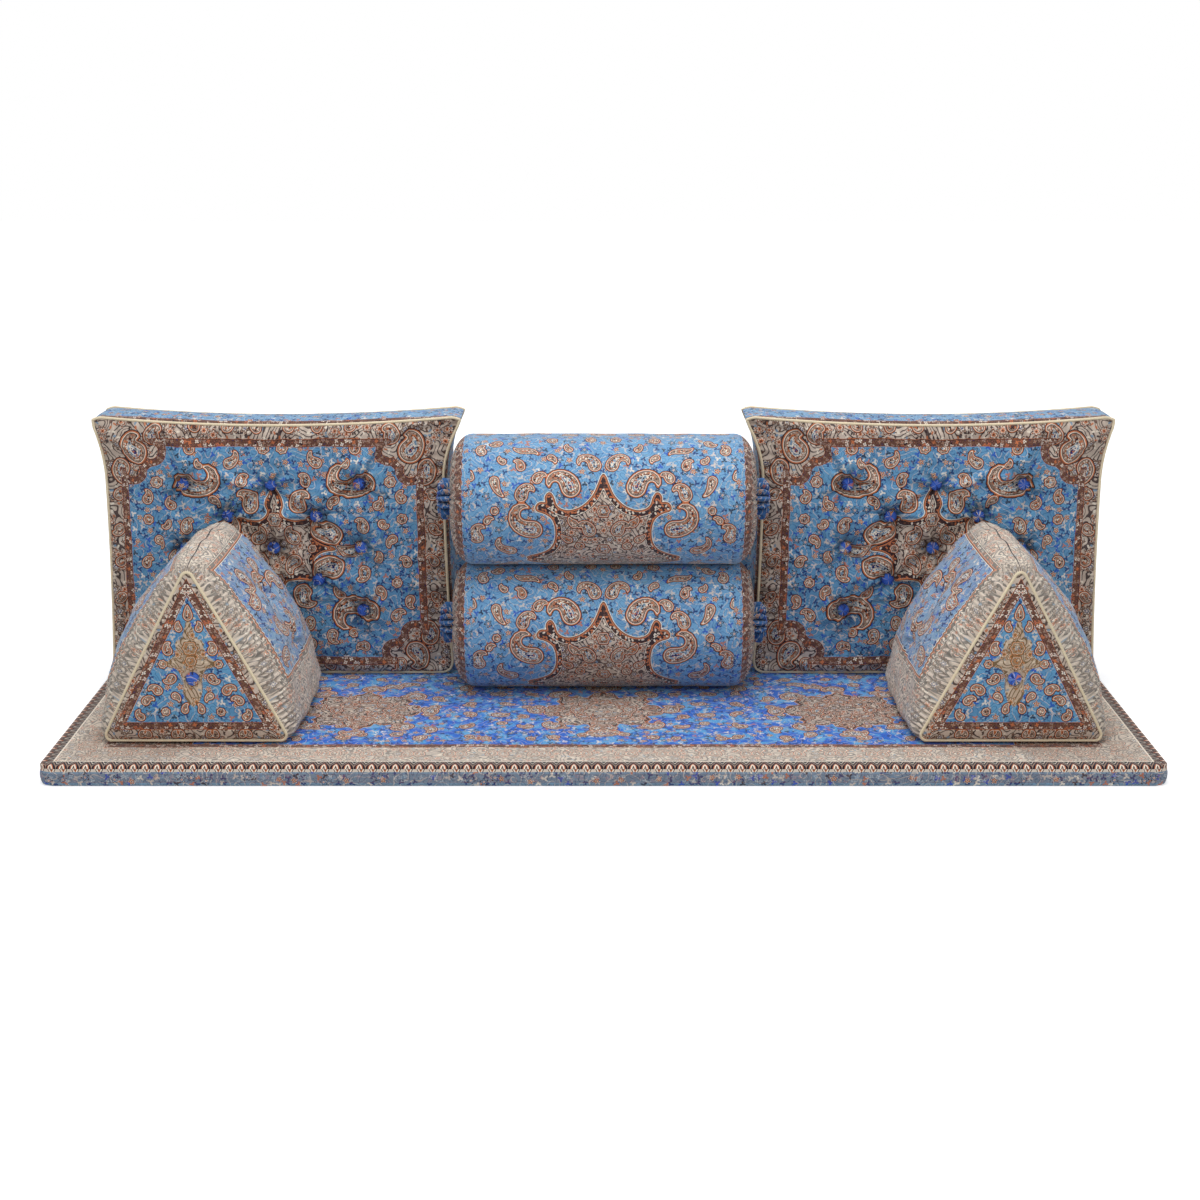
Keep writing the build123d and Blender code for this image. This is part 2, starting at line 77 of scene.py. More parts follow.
world = bpy.data.worlds.new("studio")
world.use_nodes = True
bpy.context.scene.world = world
sky = world.node_tree
sky.nodes.clear()
ambient = sky.nodes.new("ShaderNodeBackground")
ambient.inputs["Color"].default_value = (1.0, 1.0, 1.0, 1.0)
ambient.inputs["Strength"].default_value = 0.34
white = sky.nodes.new("ShaderNodeBackground")
white.inputs["Color"].default_value = (1.0, 1.0, 1.0, 1.0)
white.inputs["Strength"].default_value = 1.0
either = sky.nodes.new("ShaderNodeMixShader")
sky_out = sky.nodes.new("ShaderNodeOutputWorld")
wire(sky, seen_share(sky), either.inputs[0])
wire(sky, ambient.outputs[0], either.inputs[1])
wire(sky, white.outputs[0], either.inputs[2])
wire(sky, either.outputs[0], sky_out.inputs["Surface"])

floor_reach, floor_drop = 12.0, 0.0004
floor_data = bpy.data.meshes.new("floor")
floor_data.from_pydata(
    [(-floor_reach, -floor_reach, -floor_drop), (floor_reach, -floor_reach, -floor_drop),
     (floor_reach, floor_reach, -floor_drop), (-floor_reach, floor_reach, -floor_drop)],
    [], [(0, 1, 2, 3)],
)
floor = bpy.data.objects.new("floor", floor_data)
bpy.context.scene.collection.objects.link(floor)
floor_finish = bpy.data.materials.new("studio_floor")
floor_finish.use_nodes = True
floor_tree = floor_finish.node_tree
floor_shader = floor_tree.nodes["Principled BSDF"]
floor_shader.inputs["Base Color"].default_value = (0.86, 0.86, 0.87, 1.0)
floor_shader.inputs["Roughness"].default_value = 0.9
floor_shader.inputs["Specular IOR Level"].default_value = 0.0
# Painted light on the floor: camera rays see it glow, at a strength of 0.55 within 1.2 m of the middle rising
# to 1.0 at 3.2 m, so the far floor reads white while round the sofa it stays darker and its shadow shows.
floor_glow = floor_tree.nodes.new("ShaderNodeEmission")
floor_place = floor_tree.nodes.new("ShaderNodeTexCoord")
floor_away = floor_tree.nodes.new("ShaderNodeVectorMath")
floor_away.operation = "LENGTH"
wire(floor_tree, floor_place.outputs["Object"], floor_away.inputs[0])
floor_fade = floor_tree.nodes.new("ShaderNodeMapRange")
for label, value in (("From Min", 1.2), ("From Max", 3.2), ("To Min", 0.55), ("To Max", 1.0)):
    floor_fade.inputs[label].default_value = value
wire(floor_tree, floor_away.outputs["Value"], floor_fade.inputs["Value"])
wire(floor_tree, floor_fade.outputs["Result"], floor_glow.inputs["Strength"])
floor_sum = floor_tree.nodes.new("ShaderNodeAddShader")
floor_mix = floor_tree.nodes.new("ShaderNodeMixShader")
wire(floor_tree, floor_shader.outputs[0], floor_sum.inputs[0])
wire(floor_tree, floor_glow.outputs[0], floor_sum.inputs[1])
wire(floor_tree, seen_share(floor_tree), floor_mix.inputs[0])
wire(floor_tree, floor_shader.outputs[0], floor_mix.inputs[1])
wire(floor_tree, floor_sum.outputs[0], floor_mix.inputs[2])
wire(floor_tree, floor_mix.outputs[0], floor_tree.nodes["Material Output"].inputs["Surface"])
floor_data.materials.append(floor_finish)

lamp_aim = np.array([0.0, 0.0, 0.2])
for name, place, size, watts in (
    ("key_lamp", (-1.6, -2.6, 3.0), 2.4, 24.0),
    ("fill_lamp", (2.2, -2.4, 2.2), 2.4, 12.0),
    ("top_lamp", (0.0, -0.3, 3.2), 2.2, 58.0),
):
    lamp_data = bpy.data.lights.new(name, "AREA")
    lamp_data.energy = watts
    lamp_data.size = size
    lamp = bpy.data.objects.new(name, lamp_data)
    lamp.location = place
    reach = lamp_aim - np.array(place)
    turn = math.atan2(-reach[0], reach[1])
    tip = math.acos(-reach[2] / np.linalg.norm(reach))
    lamp.rotation_euler = (tip, 0.0, turn)
    bpy.context.scene.collection.objects.link(lamp)


# Mattress: a thin slab of foam in a brocade cover, whose top panel wraps over the edge to a
# seam on the side. The woven strip round the side and the lining base are sewn to it.
mattress_length, mattress_depth, mattress_height = 2.0, 0.75, 0.038
mattress_corner = 0.024
mattress_roll = 0.0055
mattress_wrap = 0.011


def dye(red, green, blue):
    """A colour given as a screen shows it, from 0 to 255, in the linear values of a shader."""
    shares = np.array([red, green, blue]) / 255
    return tuple(np.where(shares > 0.04045, ((shares + 0.055) / 1.055) ** 2.4, shares / 12.92)) + (1.0,)


beige, tan, brown, dark = dye(226, 212, 198), dye(168, 140, 122), dye(96, 66, 56), dye(40, 30, 40)
rust, cream, navy, slate = dye(206, 120, 76), dye(246, 236, 220), dye(24, 44, 112), dye(122, 160, 190)
royal, sky_blue, earth = dye(38, 82, 196), dye(120, 178, 226), dye(92, 56, 36)


def number(tree, operation, *values):
    """A Math node's result for numbers or sockets."""
    node = tree.nodes.new("ShaderNodeMath")
    node.operation = operation
    for socket, value in zip(node.inputs, values):
        if isinstance(value, (int, float)):
            socket.default_value = value
        else:
            wire(tree, value, socket)
    return node.outputs[0]


def below(tree, value, limit):
    """1 where a value is less than a limit, else 0."""
    return number(tree, "LESS_THAN", value, limit)


def above(tree, value, limit):
    """1 where a value is more than a limit, else 0."""
    return number(tree, "GREATER_THAN", value, limit)


def times(tree, first, second):
    """The product of two numbers or masks."""
    return number(tree, "MULTIPLY", first, second)


def over(tree, share, under, upper):
    """The upper colour over the under one, where share is 1."""
    node = tree.nodes.new("ShaderNodeMix")
    node.data_type = "RGBA"
    for socket, value in ((node.inputs[0], share), (node.inputs[6], under), (node.inputs[7], upper)):
        if isinstance(value, (int, float, tuple)):
            socket.default_value = value
        else:
            wire(tree, value, socket)
    return node.outputs[2]


def bands(tree, value, low, high, stops, kind="CONSTANT"):
    """Colours that follow a value between low and high: each stop is (value, colour)."""
    node = tree.nodes.new("ShaderNodeValToRGB")
    ramp = node.color_ramp
    ramp.interpolation = kind
    while len(ramp.elements) < len(stops):
        ramp.elements.new(0.5)
    for element, (place, colour) in zip(ramp.elements, stops):
        element.position = (place - low) / (high - low)
        element.color = colour
    share = number(tree, "DIVIDE", number(tree, "SUBTRACT", value, low), high - low)
    wire(tree, share, node.inputs[0])
    return node.outputs[0]


def grain(tree, place, scale, detail=2.0):
    """Noise over a place: its value about 0.5, and its colour."""
    node = tree.nodes.new("ShaderNodeTexNoise")
    node.noise_dimensions = "2D"
    node.inputs["Scale"].default_value = scale
    node.inputs["Detail"].default_value = detail
    wire(tree, place, node.inputs["Vector"])
    return node.outputs["Fac"], node.outputs["Color"]


def stretched(tree, place, by):
    """A place scaled differently across and along."""
    node = tree.nodes.new("ShaderNodeVectorMath")
    node.operation = "MULTIPLY"
    wire(tree, place, node.inputs[0])
    node.inputs[1].default_value = by
    return node.outputs[0]


def parts_of(tree, place):
    """The two numbers of a place."""
    node = tree.nodes.new("ShaderNodeSeparateXYZ")
    wire(tree, place, node.inputs[0])
    return node.outputs[0], node.outputs[1]


def new_group(name, inputs, outputs):
    """A shader node group with named sockets, and its input and output nodes."""
    group = bpy.data.node_groups.new(name, "ShaderNodeTree")
    kinds = {"value": "NodeSocketFloat", "colour": "NodeSocketColor", "place": "NodeSocketVector"}
    for label, kind, start in inputs:
        socket = group.interface.new_socket(label, in_out="INPUT", socket_type=kinds[kind])
        if start is not None:
            socket.default_value = start
    for label, kind in outputs:
        group.interface.new_socket(label, in_out="OUTPUT", socket_type=kinds[kind])
    return group, group.nodes.new("NodeGroupInput"), group.nodes.new("NodeGroupOutput")


def florets(tree, place, scale, petals, depth=0.3, randomness=0.85):
    """Florets strewn one to a cell: distance from the nearest one's middle in cell widths, less
    where a petal of some depth reaches out, and two random tones of that floret."""
    node = tree.nodes.new("ShaderNodeTexVoronoi")
    node.voronoi_dimensions = "2D"
    node.inputs["Randomness"].default_value = randomness
    node.inputs["Scale"].default_value = scale
    wire(tree, place, node.inputs["Vector"])
    away = tree.nodes.new("ShaderNodeVectorMath")
    away.operation = "SUBTRACT"
    wire(tree, place, away.inputs[0])
    wire(tree, node.outputs["Position"], away.inputs[1])
    away_x, away_y = parts_of(tree, away.outputs[0])
    tones = tree.nodes.new("ShaderNodeSeparateXYZ")
    wire(tree, node.outputs["Color"], tones.inputs[0])
    phase = times(tree, tones.outputs[2], 6.28)
    bearing = number(tree, "MULTIPLY_ADD", number(tree, "ARCTAN2", away_y, away_x), petals, phase)
    reach = number(tree, "MULTIPLY_ADD", number(tree, "COSINE", bearing), depth, 1.0)
    return number(tree, "DIVIDE", node.outputs["Distance"], reach), tones.outputs[0], tones.outputs[1]


def tendrils(tree, place, scale, apart, width):
    """Winding lines: where a smooth noise passes each of its levels, apart from each other."""
    wave, _ = grain(tree, place, scale, 0.0)
    return below(tree, number(tree, "PINGPONG", wave, apart), width)


# Brocade: a twill ground with tendrils, leaves and florets; a busy beige ground inside
# medallions; a garland between the two; and curled drops and rosettes in rings of colour.
# Motif, in shares of a drop's radius, and Ground, in metres, are distances: below 0 is inside a
# drop or inside a medallion. The input for painted shade, 0 to 1, darkens folds and hollows: at 1
# the colour keeps 0.4 of its value.
brocade, given, made = new_group(
    "brocade",
    [("Cloth", "place", None), ("Motif", "value", 1.0), ("Ground", "value", 1.0),
     ("Field", "colour", sky_blue), ("Deep", "colour", navy), ("Sprays", "value", 1.0),
     ("Painted_shade", "value", 0.0)],
    [("Colour", "colour"), ("Height", "value")],
)
place, motif_gap, ground_gap, field_dye, deep_dye, sprays, painted_shade_depth = given.outputs[:7]
leaf_pitch, flower_pitch, petal_pitch = 80.0, 43.0, 44.0
seed_pitch, bead_pitch, crumb_pitch = 118.0, 165.0, 205.0
_, sway = grain(brocade, place, 90.0, 1.0)
swayed = brocade.nodes.new("ShaderNodeVectorMath")
swayed.operation = "MULTIPLY_ADD"
wire(brocade, sway, swayed.inputs[0])
swayed.inputs[1].default_value = (0.003, 0.003, 0.0)
wire(brocade, place, swayed.inputs[2])
swayed = swayed.outputs[0]
mottle, _ = grain(brocade, place, 24.0, 3.0)

# The field: its dye in two depths, pale and deep tendrils, leaves and two kinds of floret.
field = over(brocade, number(brocade, "MULTIPLY_ADD", mottle, 0.9, -0.36), field_dye, deep_dye)
pale = times(brocade, tendrils(brocade, swayed, 36.0, 0.13, 0.018), 0.6)
field = over(brocade, times(brocade, pale, sprays), field, beige)
stem = times(brocade, tendrils(brocade, place, 62.0, 0.12, 0.02), sprays)
field = over(brocade, times(brocade, stem, 0.72), field, deep_dye)
leaf, leaf_tone, leaf_chance = florets(brocade, swayed, leaf_pitch, 3.0, 0.62)
leaf_colour = bands(brocade, leaf_tone, 0.0, 1.0, [
    (0.0, navy), (0.34, dark), (0.44, cream), (0.52, slate), (0.62, rust), (0.72, royal), (0.86, beige)])
leaf_mask = times(brocade, below(brocade, leaf, 0.3), above(brocade, leaf_chance, 0.36))
field = over(brocade, times(brocade, times(brocade, leaf_mask, 0.82), sprays), field, leaf_colour)
flower, flower_tone, flower_chance = florets(brocade, swayed, flower_pitch, 5.0)
flower_warm = bands(brocade, flower, 0.0, 0.4, [
    (0.0, dark), (0.05, cream), (0.08, rust), (0.15, dark), (0.18, cream), (0.22, navy)])
flower_cool = bands(brocade, flower, 0.0, 0.4, [
    (0.0, rust), (0.05, cream), (0.09, navy), (0.13, slate), (0.2, dark)])
flower_colour = over(brocade, above(brocade, flower_tone, 0.55), flower_warm, flower_cool)
flower_mask = times(brocade, below(brocade, flower, 0.26), above(brocade, flower_chance, 0.5))
field = over(brocade, times(brocade, flower_mask, sprays), field, flower_colour)

# The busy ground: beige to tan, with dark tendrils, many-petalled rosettes and seeds.
busy = over(brocade, number(brocade, "MULTIPLY_ADD", mottle, 0.9, -0.25), beige, tan)
busy = over(brocade, times(brocade, tendrils(brocade, swayed, 30.0, 0.075, 0.022), 0.9), busy, dark)
petal, petal_tone, petal_chance = florets(brocade, swayed, petal_pitch, 6.0)
petal_warm = bands(brocade, petal, 0.0, 0.6, [
    (0.0, dark), (0.06, rust), (0.16, cream), (0.23, dark), (0.29, rust), (0.33, beige), (0.37, dark)])
petal_cool = bands(brocade, petal, 0.0, 0.6, [
    (0.0, cream), (0.07, navy), (0.15, cream), (0.21, dark), (0.27, tan), (0.36, dark)])
petal_colour = over(brocade, above(brocade, petal_tone, 0.62), petal_warm, petal_cool)
petal_mask = times(brocade, below(brocade, petal, 0.42), above(brocade, petal_chance, 0.22))
busy = over(brocade, petal_mask, busy, petal_colour)
seed, seed_tone, seed_chance = florets(brocade, place, seed_pitch, 2.0)
seed_colour = bands(brocade, seed_tone, 0.0, 1.0, [
    (0.0, dark), (0.3, cream), (0.56, slate), (0.7, rust), (0.8, brown)])
seed_mask = times(brocade, below(brocade, seed, 0.3), above(brocade, seed_chance, 0.45))
seed_mask = times(brocade, seed_mask, number(brocade, "SUBTRACT", 1.0, petal_mask))
busy = over(brocade, times(brocade, seed_mask, 0.9), busy, seed_colour)
colour = over(brocade, below(brocade, ground_gap, 0.0), field, busy)

# The garland: beads of many colours between two fine lined rims, along a medallion's edge.
bead, bead_tone, _ = florets(brocade, place, bead_pitch, 2.0, 0.3, 0.6)
garland = bands(brocade, bead_tone, 0.0, 1.0, [
    (0.0, rust), (0.2, cream), (0.38, brown), (0.52, rust), (0.66, beige), (0.82, dark)])
garland = over(brocade, above(brocade, bead, 0.38), garland, dark)
garland_rim = bands(brocade, ground_gap, -0.02, 0.006, [
    (-0.02, dark), (-0.0108, cream), (-0.0096, beige), (-0.0026, cream), (-0.0014, rust),
    (0.001, dark), (0.0022, cream)])
from_middle = number(brocade, "ABSOLUTE", number(brocade, "ADD", ground_gap, 0.0055))
garland = over(brocade, above(brocade, from_middle, 0.0041), garland, garland_rim)
on_garland = times(brocade, above(brocade, ground_gap, -0.0118), below(brocade, ground_gap, 0.0036))
colour = over(brocade, on_garland, colour, garland)

# The drops and rosettes: rings from the middle out, with crumbs and filigree inside.
drop = bands(brocade, motif_gap, -1.0, 1.0, [
    (-1.0, navy), (-0.84, cream), (-0.76, slate), (-0.6, cream), (-0.54, dark), (-0.46, rust),
    (-0.38, tan), (-0.15, dark), (-0.09, cream), (-0.02, rust), (0.09, dark)])
crumb, crumb_tone, _ = florets(brocade, place, crumb_pitch, 3.0, 0.4)
crumb_colour = bands(brocade, crumb_tone, 0.0, 1.0, [
    (0.0, cream), (0.42, dark), (0.62, rust), (0.8, beige)])
crumb_mask = times(brocade, below(brocade, crumb, 0.34), below(brocade, motif_gap, -0.2))
drop = over(brocade, crumb_mask, drop, crumb_colour)
filigree = tendrils(brocade, place, 130.0, 0.11, 0.018)
filigree = times(brocade, filigree, below(brocade, motif_gap, -0.16))
drop = over(brocade, times(brocade, filigree, 0.75), drop, brown)
colour = over(brocade, below(brocade, motif_gap, 0.19), colour, drop)

# The threads: weft and warp shade the colour, painted shade darkens it in creases, and they raise
# the figures.
weft, _ = grain(brocade, stretched(brocade, place, (420.0, 1500.0, 1.0)), 1.0, 1.0)
warp, _ = grain(brocade, stretched(brocade, place, (1700.0, 260.0, 1.0)), 1.0, 1.0)
thread = number(brocade, "ADD", weft, times(brocade, warp, 0.6))
crease_shade = number(brocade, "MULTIPLY_ADD", painted_shade_depth, -0.6, 1.0)
shade = brocade.nodes.new("ShaderNodeHueSaturation")
brightness = times(brocade, number(brocade, "MULTIPLY_ADD", thread, 0.6, 0.53), crease_shade)
wire(brocade, brightness, shade.inputs["Value"])
wire(brocade, colour, shade.inputs["Color"])
wire(brocade, shade.outputs[0], made.inputs["Colour"])
figures = number(brocade, "ADD", leaf_mask, flower_mask)
raised = number(brocade, "ADD", below(brocade, motif_gap, 0.12), figures)
wire(brocade, number(brocade, "MULTIPLY_ADD", raised, 0.35, thread), made.inputs["Height"])

# Guard stripe: a narrow woven border of blossoms on a waving stem, on a dark ground between two
# fine lines.
stripe_ground = dye(124, 84, 68)
guard, given, made = new_group(
    "guard_stripe",
    [("Along", "value", 0.0), ("Across", "value", 0.0), ("Width", "value", 0.017)],
    [("Colour", "colour")],
)
spot = guard.nodes.new("ShaderNodeCombineXYZ")
wire(guard, given.outputs["Along"], spot.inputs[0])
wire(guard, times(guard, given.outputs["Across"], given.outputs["Width"]), spot.inputs[1])
spot = spot.outputs[0]
bloom, bloom_tone, bloom_other = florets(guard, spot, 112.0, 4.0, 0.4, 0.5)
petals = bands(guard, bloom_tone, 0.0, 1.0, [
    (0.0, rust), (0.15, tan), (0.42, beige), (0.58, brown), (0.86, cream)])
petals = over(guard, below(guard, bloom, 0.12), petals, over(guard, bloom_other, rust, navy))
stripe_colour = over(guard, tendrils(guard, spot, 70.0, 0.09, 0.016), stripe_ground, dark)
stripe_colour = over(guard, below(guard, bloom, 0.35), stripe_colour, petals)
edge_line = number(guard, "ABSOLUTE", number(guard, "SUBTRACT", given.outputs["Across"], 0.5))
stripe_colour = over(guard, above(guard, edge_line, 0.4), stripe_colour, dark)
stripe_colour = over(guard, above(guard, edge_line, 0.455), stripe_colour, rust)
wire(guard, stripe_colour, made.inputs["Colour"])


def segment_gap(x, y, start, end):
    """Distance of points from a straight line between two places, and the share along it."""
    way = np.array(end, float) - np.array(start, float)
    share = np.clip(((x - start[0]) * way[0] + (y - start[1]) * way[1]) / (way @ way), 0, 1)
    return np.hypot(x - start[0] - share * way[0], y - start[1] - share * way[1]), share


def outline_gap(x, y, corners):
    """Signed distance from a closed outline, negative inside: the nearest side's distance,
    its sign turned for each side that a level line to the right crosses."""
    gap = np.full(np.shape(x), 9.0)
    sign = np.ones(np.shape(x))
    for start, end in zip(corners, corners[1:] + corners[:1]):
        gap = np.minimum(gap, segment_gap(x, y, start, end)[0])
        if start[1] != end[1]:
            crossing = start[0] + (y - start[1]) * (end[0] - start[0]) / (end[1] - start[1])
            sign = np.where(((start[1] > y) != (end[1] > y)) & (x < crossing), -sign, sign)
    return gap * sign


least_ring = 0.0125
path_steps = 10


def drops(x, y, motifs):
    """Nearest curled drop or rosette of a list, as distance in shares of its own radius, -1 in
    its middle and 0 on its outline; small ones keep the thicker rings of a middling one. A drop
    is (x, y, radius, length, heading, curl): a row of shrinking discs along a path that leaves
    its middle at the heading and turns more and more up to the curl, in degrees. One of no
    length is a rosette with seven petals."""
    near = np.full(np.shape(x), 9.0)
    shown = np.full(np.shape(x), 1.0)
    for middle_x, middle_y, radius, length, heading, curl in motifs:
        if length == 0:
            bearing = np.arctan2(y - middle_y, x - middle_x)
            gap = np.hypot(x - middle_x, y - middle_y) - radius * (1 + 0.1 * np.cos(7 * bearing))
        else:
            gap = np.hypot(x - middle_x, y - middle_y) - radius
            start, size = np.array([middle_x, middle_y]), radius
            for step in range(1, path_steps + 1):
                share = step / path_steps
                turn = math.radians(heading + curl * share ** 1.6)
                end = start + length / path_steps * np.array([math.cos(turn), math.sin(turn)])
                thin = radius * (1 - share) ** 0.75 + 0.06 * radius
                reach, along_step = segment_gap(x, y, start, end)
                gap = np.minimum(gap, reach - size - (thin - size) * along_step)
                start, size = end, thin
        closer = gap < near
        near = np.where(closer, gap, near)
        shown = np.where(closer, gap / max(radius, least_ring), shown)
    return np.clip(shown, -1.0, 1.0)


def cloth_finish(name, layers, rough=0.82, bump=0.0006, sheen=0.25):
    """A brocade material. layers(tree, cloth, read) gives its colour and height sockets, where
    cloth is the UV place and read a piece's attribute."""
    material = bpy.data.materials.new(name)
    material.use_nodes = True
    tree = material.node_tree
    shader = tree.nodes["Principled BSDF"]
    uv = tree.nodes.new("ShaderNodeUVMap")
    uv.uv_map = "cloth"

    def read(label):
        node = tree.nodes.new("ShaderNodeAttribute")
        node.attribute_name = label
        return node.outputs["Fac"]

    colour, height = layers(tree, uv.outputs[0], read)
    wire(tree, colour, shader.inputs["Base Color"])
    shader.inputs["Roughness"].default_value = rough
    shader.inputs["Specular IOR Level"].default_value = 0.25
    shader.inputs["Sheen Weight"].default_value = sheen
    shader.inputs["Sheen Roughness"].default_value = 0.4
    lift = tree.nodes.new("ShaderNodeBump")
    lift.inputs["Distance"].default_value = bump
    lift.inputs["Strength"].default_value = 0.7
    wire(tree, height, lift.inputs["Height"])
    wire(tree, lift.outputs[0], shader.inputs["Normal"])
    return material


def lay_group(tree, group, values):
    """A group placed in a material, with its named inputs set or joined."""
    node = tree.nodes.new("ShaderNodeGroup")
    node.node_tree = group
    for label, value in values.items():
        if isinstance(value, (int, float, tuple)):
            node.inputs[label].default_value = value
        else:
            wire(tree, value, node.inputs[label])
    return node.outputs


def stripe(tree, edge, pace, low, high, under):
    """A guard stripe over a colour, where the edge distance is between low and high."""
    across = number(tree, "DIVIDE", number(tree, "SUBTRACT", edge, low), high - low)
    drawn = lay_group(tree, guard, {"Along": pace, "Across": across, "Width": high - low})["Colour"]
    within = times(tree, above(tree, across, 0.0), below(tree, across, 1.0))
    return over(tree, within, under, drawn)


def toned(tree, colour, where, share, tint):
    """A colour with a share of a tint mixed in where a mask is 1."""
    return over(tree, times(tree, where, share), colour, tint)


def eased(corners, rounds=2):
    """A closed outline with its corners cut twice over: each side keeps its middle half."""
    points = np.array(corners, float)
    for _ in range(rounds):
        after = np.roll(points, -1, axis=0)
        points = np.stack([0.75 * points + 0.25 * after, 0.25 * points + 0.75 * after], axis=1).reshape(-1, 2)
    return [tuple(point) for point in points]


def sown(seed, low, high, pitch, radius):
    """Small drops and rosettes strewn over a rectangle, one in each square of a pitch."""
    chance = np.random.default_rng(seed)
    motifs = []
    stray = 0.28
    for x in np.arange(low[0] + pitch / 2, high[0], pitch):
        for y in np.arange(low[1] + pitch / 2, high[1], pitch):
            middle = (x + chance.uniform(-stray, stray) * pitch, y + chance.uniform(-stray, stray) * pitch)
            size = radius * chance.uniform(0.75, 1.2)
            length = 0 if chance.uniform() < 0.3 else size * chance.uniform(2.2, 3.2)
            heading = chance.uniform(0, 360)
            curl = chance.choice([-1, 1]) * chance.uniform(90, 180)
            motifs.append((*middle, size, length, heading, curl))
    return motifs


def quads(rows, columns, first):
    """Corner numbers of a grid's quads, row by row, counted from a first one."""
    row, column = np.meshgrid(np.arange(rows - 1), np.arange(columns - 1), indexing="ij")
    start = row * columns + column + first
    return np.stack([start, start + 1, start + columns + 1, start + columns], axis=-1).reshape(-1, 4)


def patch(grid, cloth, finish=0, fields=None, reverse=False):
    """One grid of points for sew, with its cloth coordinates, finish number and fields. Where
    its faces would point inwards, all rows are taken in reverse."""
    step = -1 if reverse else 1
    fields = {key: values[::step] for key, values in (fields or {}).items()}
    return grid[::step], cloth[::step], finish, fields


def sew(name, patches, finishes):
    """One piece from several patches: their cloth coordinates go to the UV map, their fields
    to attributes."""
    points, corners, cloth, finish, fields = [], [], [], [], {}
    count = 0
    for grid, coordinates, finish_number, shades in patches:
        rows, columns = grid.shape[:2]
        faces = quads(rows, columns, count)
        points.append(grid.reshape(-1, 3))
        corners.append(faces)
        cloth.append(coordinates.reshape(-1, 2))
        finish.append(np.full(len(faces), finish_number))
        for key, values in shades.items():
            fields.setdefault(key, []).append((count, np.asarray(values).reshape(-1)))
        count += rows * columns
    points = np.concatenate(points)
    corners = np.concatenate(corners)
    cloth = np.concatenate(cloth)
    mesh = bpy.data.meshes.new(name)
    mesh.vertices.add(len(points))
    mesh.vertices.foreach_set("co", points.astype(np.float32).ravel())
    mesh.loops.add(corners.size)
    mesh.loops.foreach_set("vertex_index", corners.astype(np.int32).ravel())
    mesh.polygons.add(len(corners))
    mesh.polygons.foreach_set("loop_start", np.arange(0, corners.size, 4, dtype=np.int32))
    mesh.update(calc_edges=True)
    mesh.polygons.foreach_set("material_index", np.concatenate(finish).astype(np.int32))
    mesh.polygons.foreach_set("use_smooth", np.ones(len(corners), bool))
    layout = mesh.uv_layers.new(name="cloth")
    layout.data.foreach_set("uv", cloth[corners.ravel()].astype(np.float32).ravel())
    for key, parts in fields.items():
        values = np.zeros(len(points), np.float32)
        for start, part in parts:
            values[start:start + len(part)] = part
        mesh.attributes.new(key, "FLOAT", "POINT").data.foreach_set("value", values)
    for material in finishes:
        mesh.materials.append(material)
    mesh.validate()
    piece = bpy.data.objects.new(name, mesh)
    bpy.context.scene.collection.objects.link(piece)
    return piece


def lines(reach, count, edge, extra):
    """Places from -reach to reach, evenly spaced, with more lines within edge of each end."""
    near = edge * (1 - np.cos(np.linspace(0, math.pi / 2, extra + 1)))
    inner = np.linspace(-reach + edge, reach - edge, count)
    return np.concatenate([-reach + near[:-1], inner, (reach - near[:-1])[::-1]])


def ripple(x, y, scale, seed):
    """Slow unevenness between about -1 and 1: a quarter of the sum of eight plane waves, whose
    direction, length and phase come from the seed."""
    chance = np.random.default_rng(seed)
    total = np.zeros(np.broadcast(x, y).shape)
    for _ in range(8):
        heading = chance.uniform(0, 2 * math.pi)
        length = scale * chance.uniform(0.6, 1.7)
        phase = chance.uniform(0, 2 * math.pi)
        total += np.sin(2 * math.pi * (x * math.cos(heading) + y * math.sin(heading)) / length + phase)
    return total / 4


def rounded(x, y, half_x, half_y, corner):
    """Points of a rectangle drawn into round corners: near a corner, each moves along the
    diagonal in proportion to how deep it is in the corner's square."""
    depth = np.clip((np.abs(x) - half_x + corner) / corner, 0, 1)
    depth = depth * np.clip((np.abs(y) - half_y + corner) / corner, 0, 1)
    draw = (1 - math.sqrt(0.5)) * corner * depth ** 1.3
    return x - np.sign(x) * draw, y - np.sign(y) * draw


def loop_of(grid):
    """The border of a grid of points, once round, as one row."""
    return np.concatenate([grid[0, :-1], grid[:-1, -1], grid[-1, :0:-1], grid[:0:-1, 0]])


def closed_loop(loop):
    """A row of points with its first point again at its end."""
    return np.concatenate([loop, loop[:1]])


def loop_pace(loop):
    """Distance run along a closed row of points, starting at 0."""
    steps = np.linalg.norm(np.diff(loop, axis=0), axis=1)
    return np.concatenate([[0.0], np.cumsum(steps)])


half_length, half_depth = mattress_length / 2, mattress_depth / 2
seam_level, base_draw, side_swell, top_waver = 0.0045, 0.0028, 0.0014, 0.0007
lines_along, lines_across, roll_lines = 424, 158, 5
along, across = np.meshgrid(
    lines(half_length, lines_along, mattress_roll, roll_lines),
    lines(half_depth, lines_across, mattress_roll, roll_lines), indexing="xy",
)
edge_reach = np.minimum(half_length - np.abs(along), half_depth - np.abs(across))
roll = mattress_roll - np.sqrt(
    np.maximum(mattress_roll ** 2 - np.clip(mattress_roll - edge_reach, 0, None) ** 2, 0))
top_x, top_y = rounded(along, across, half_length, half_depth, mattress_corner)
top_z = mattress_height - roll + top_waver * ripple(along, across, 0.16, 3) * np.clip(edge_reach / 0.03, 0, 1)
top_grid = np.stack([top_x, top_y, top_z], axis=-1)
rim = closed_loop(loop_of(top_grid))
run = loop_pace(rim)
wrap_level = mattress_height - mattress_wrap
heights = np.concatenate([
    np.linspace(mattress_height - mattress_roll, wrap_level, 4),
    np.linspace(wrap_level, seam_level, 9)[1:],
    np.array([0.0022, 0.0008, 0.0]),
])
side_rows = []
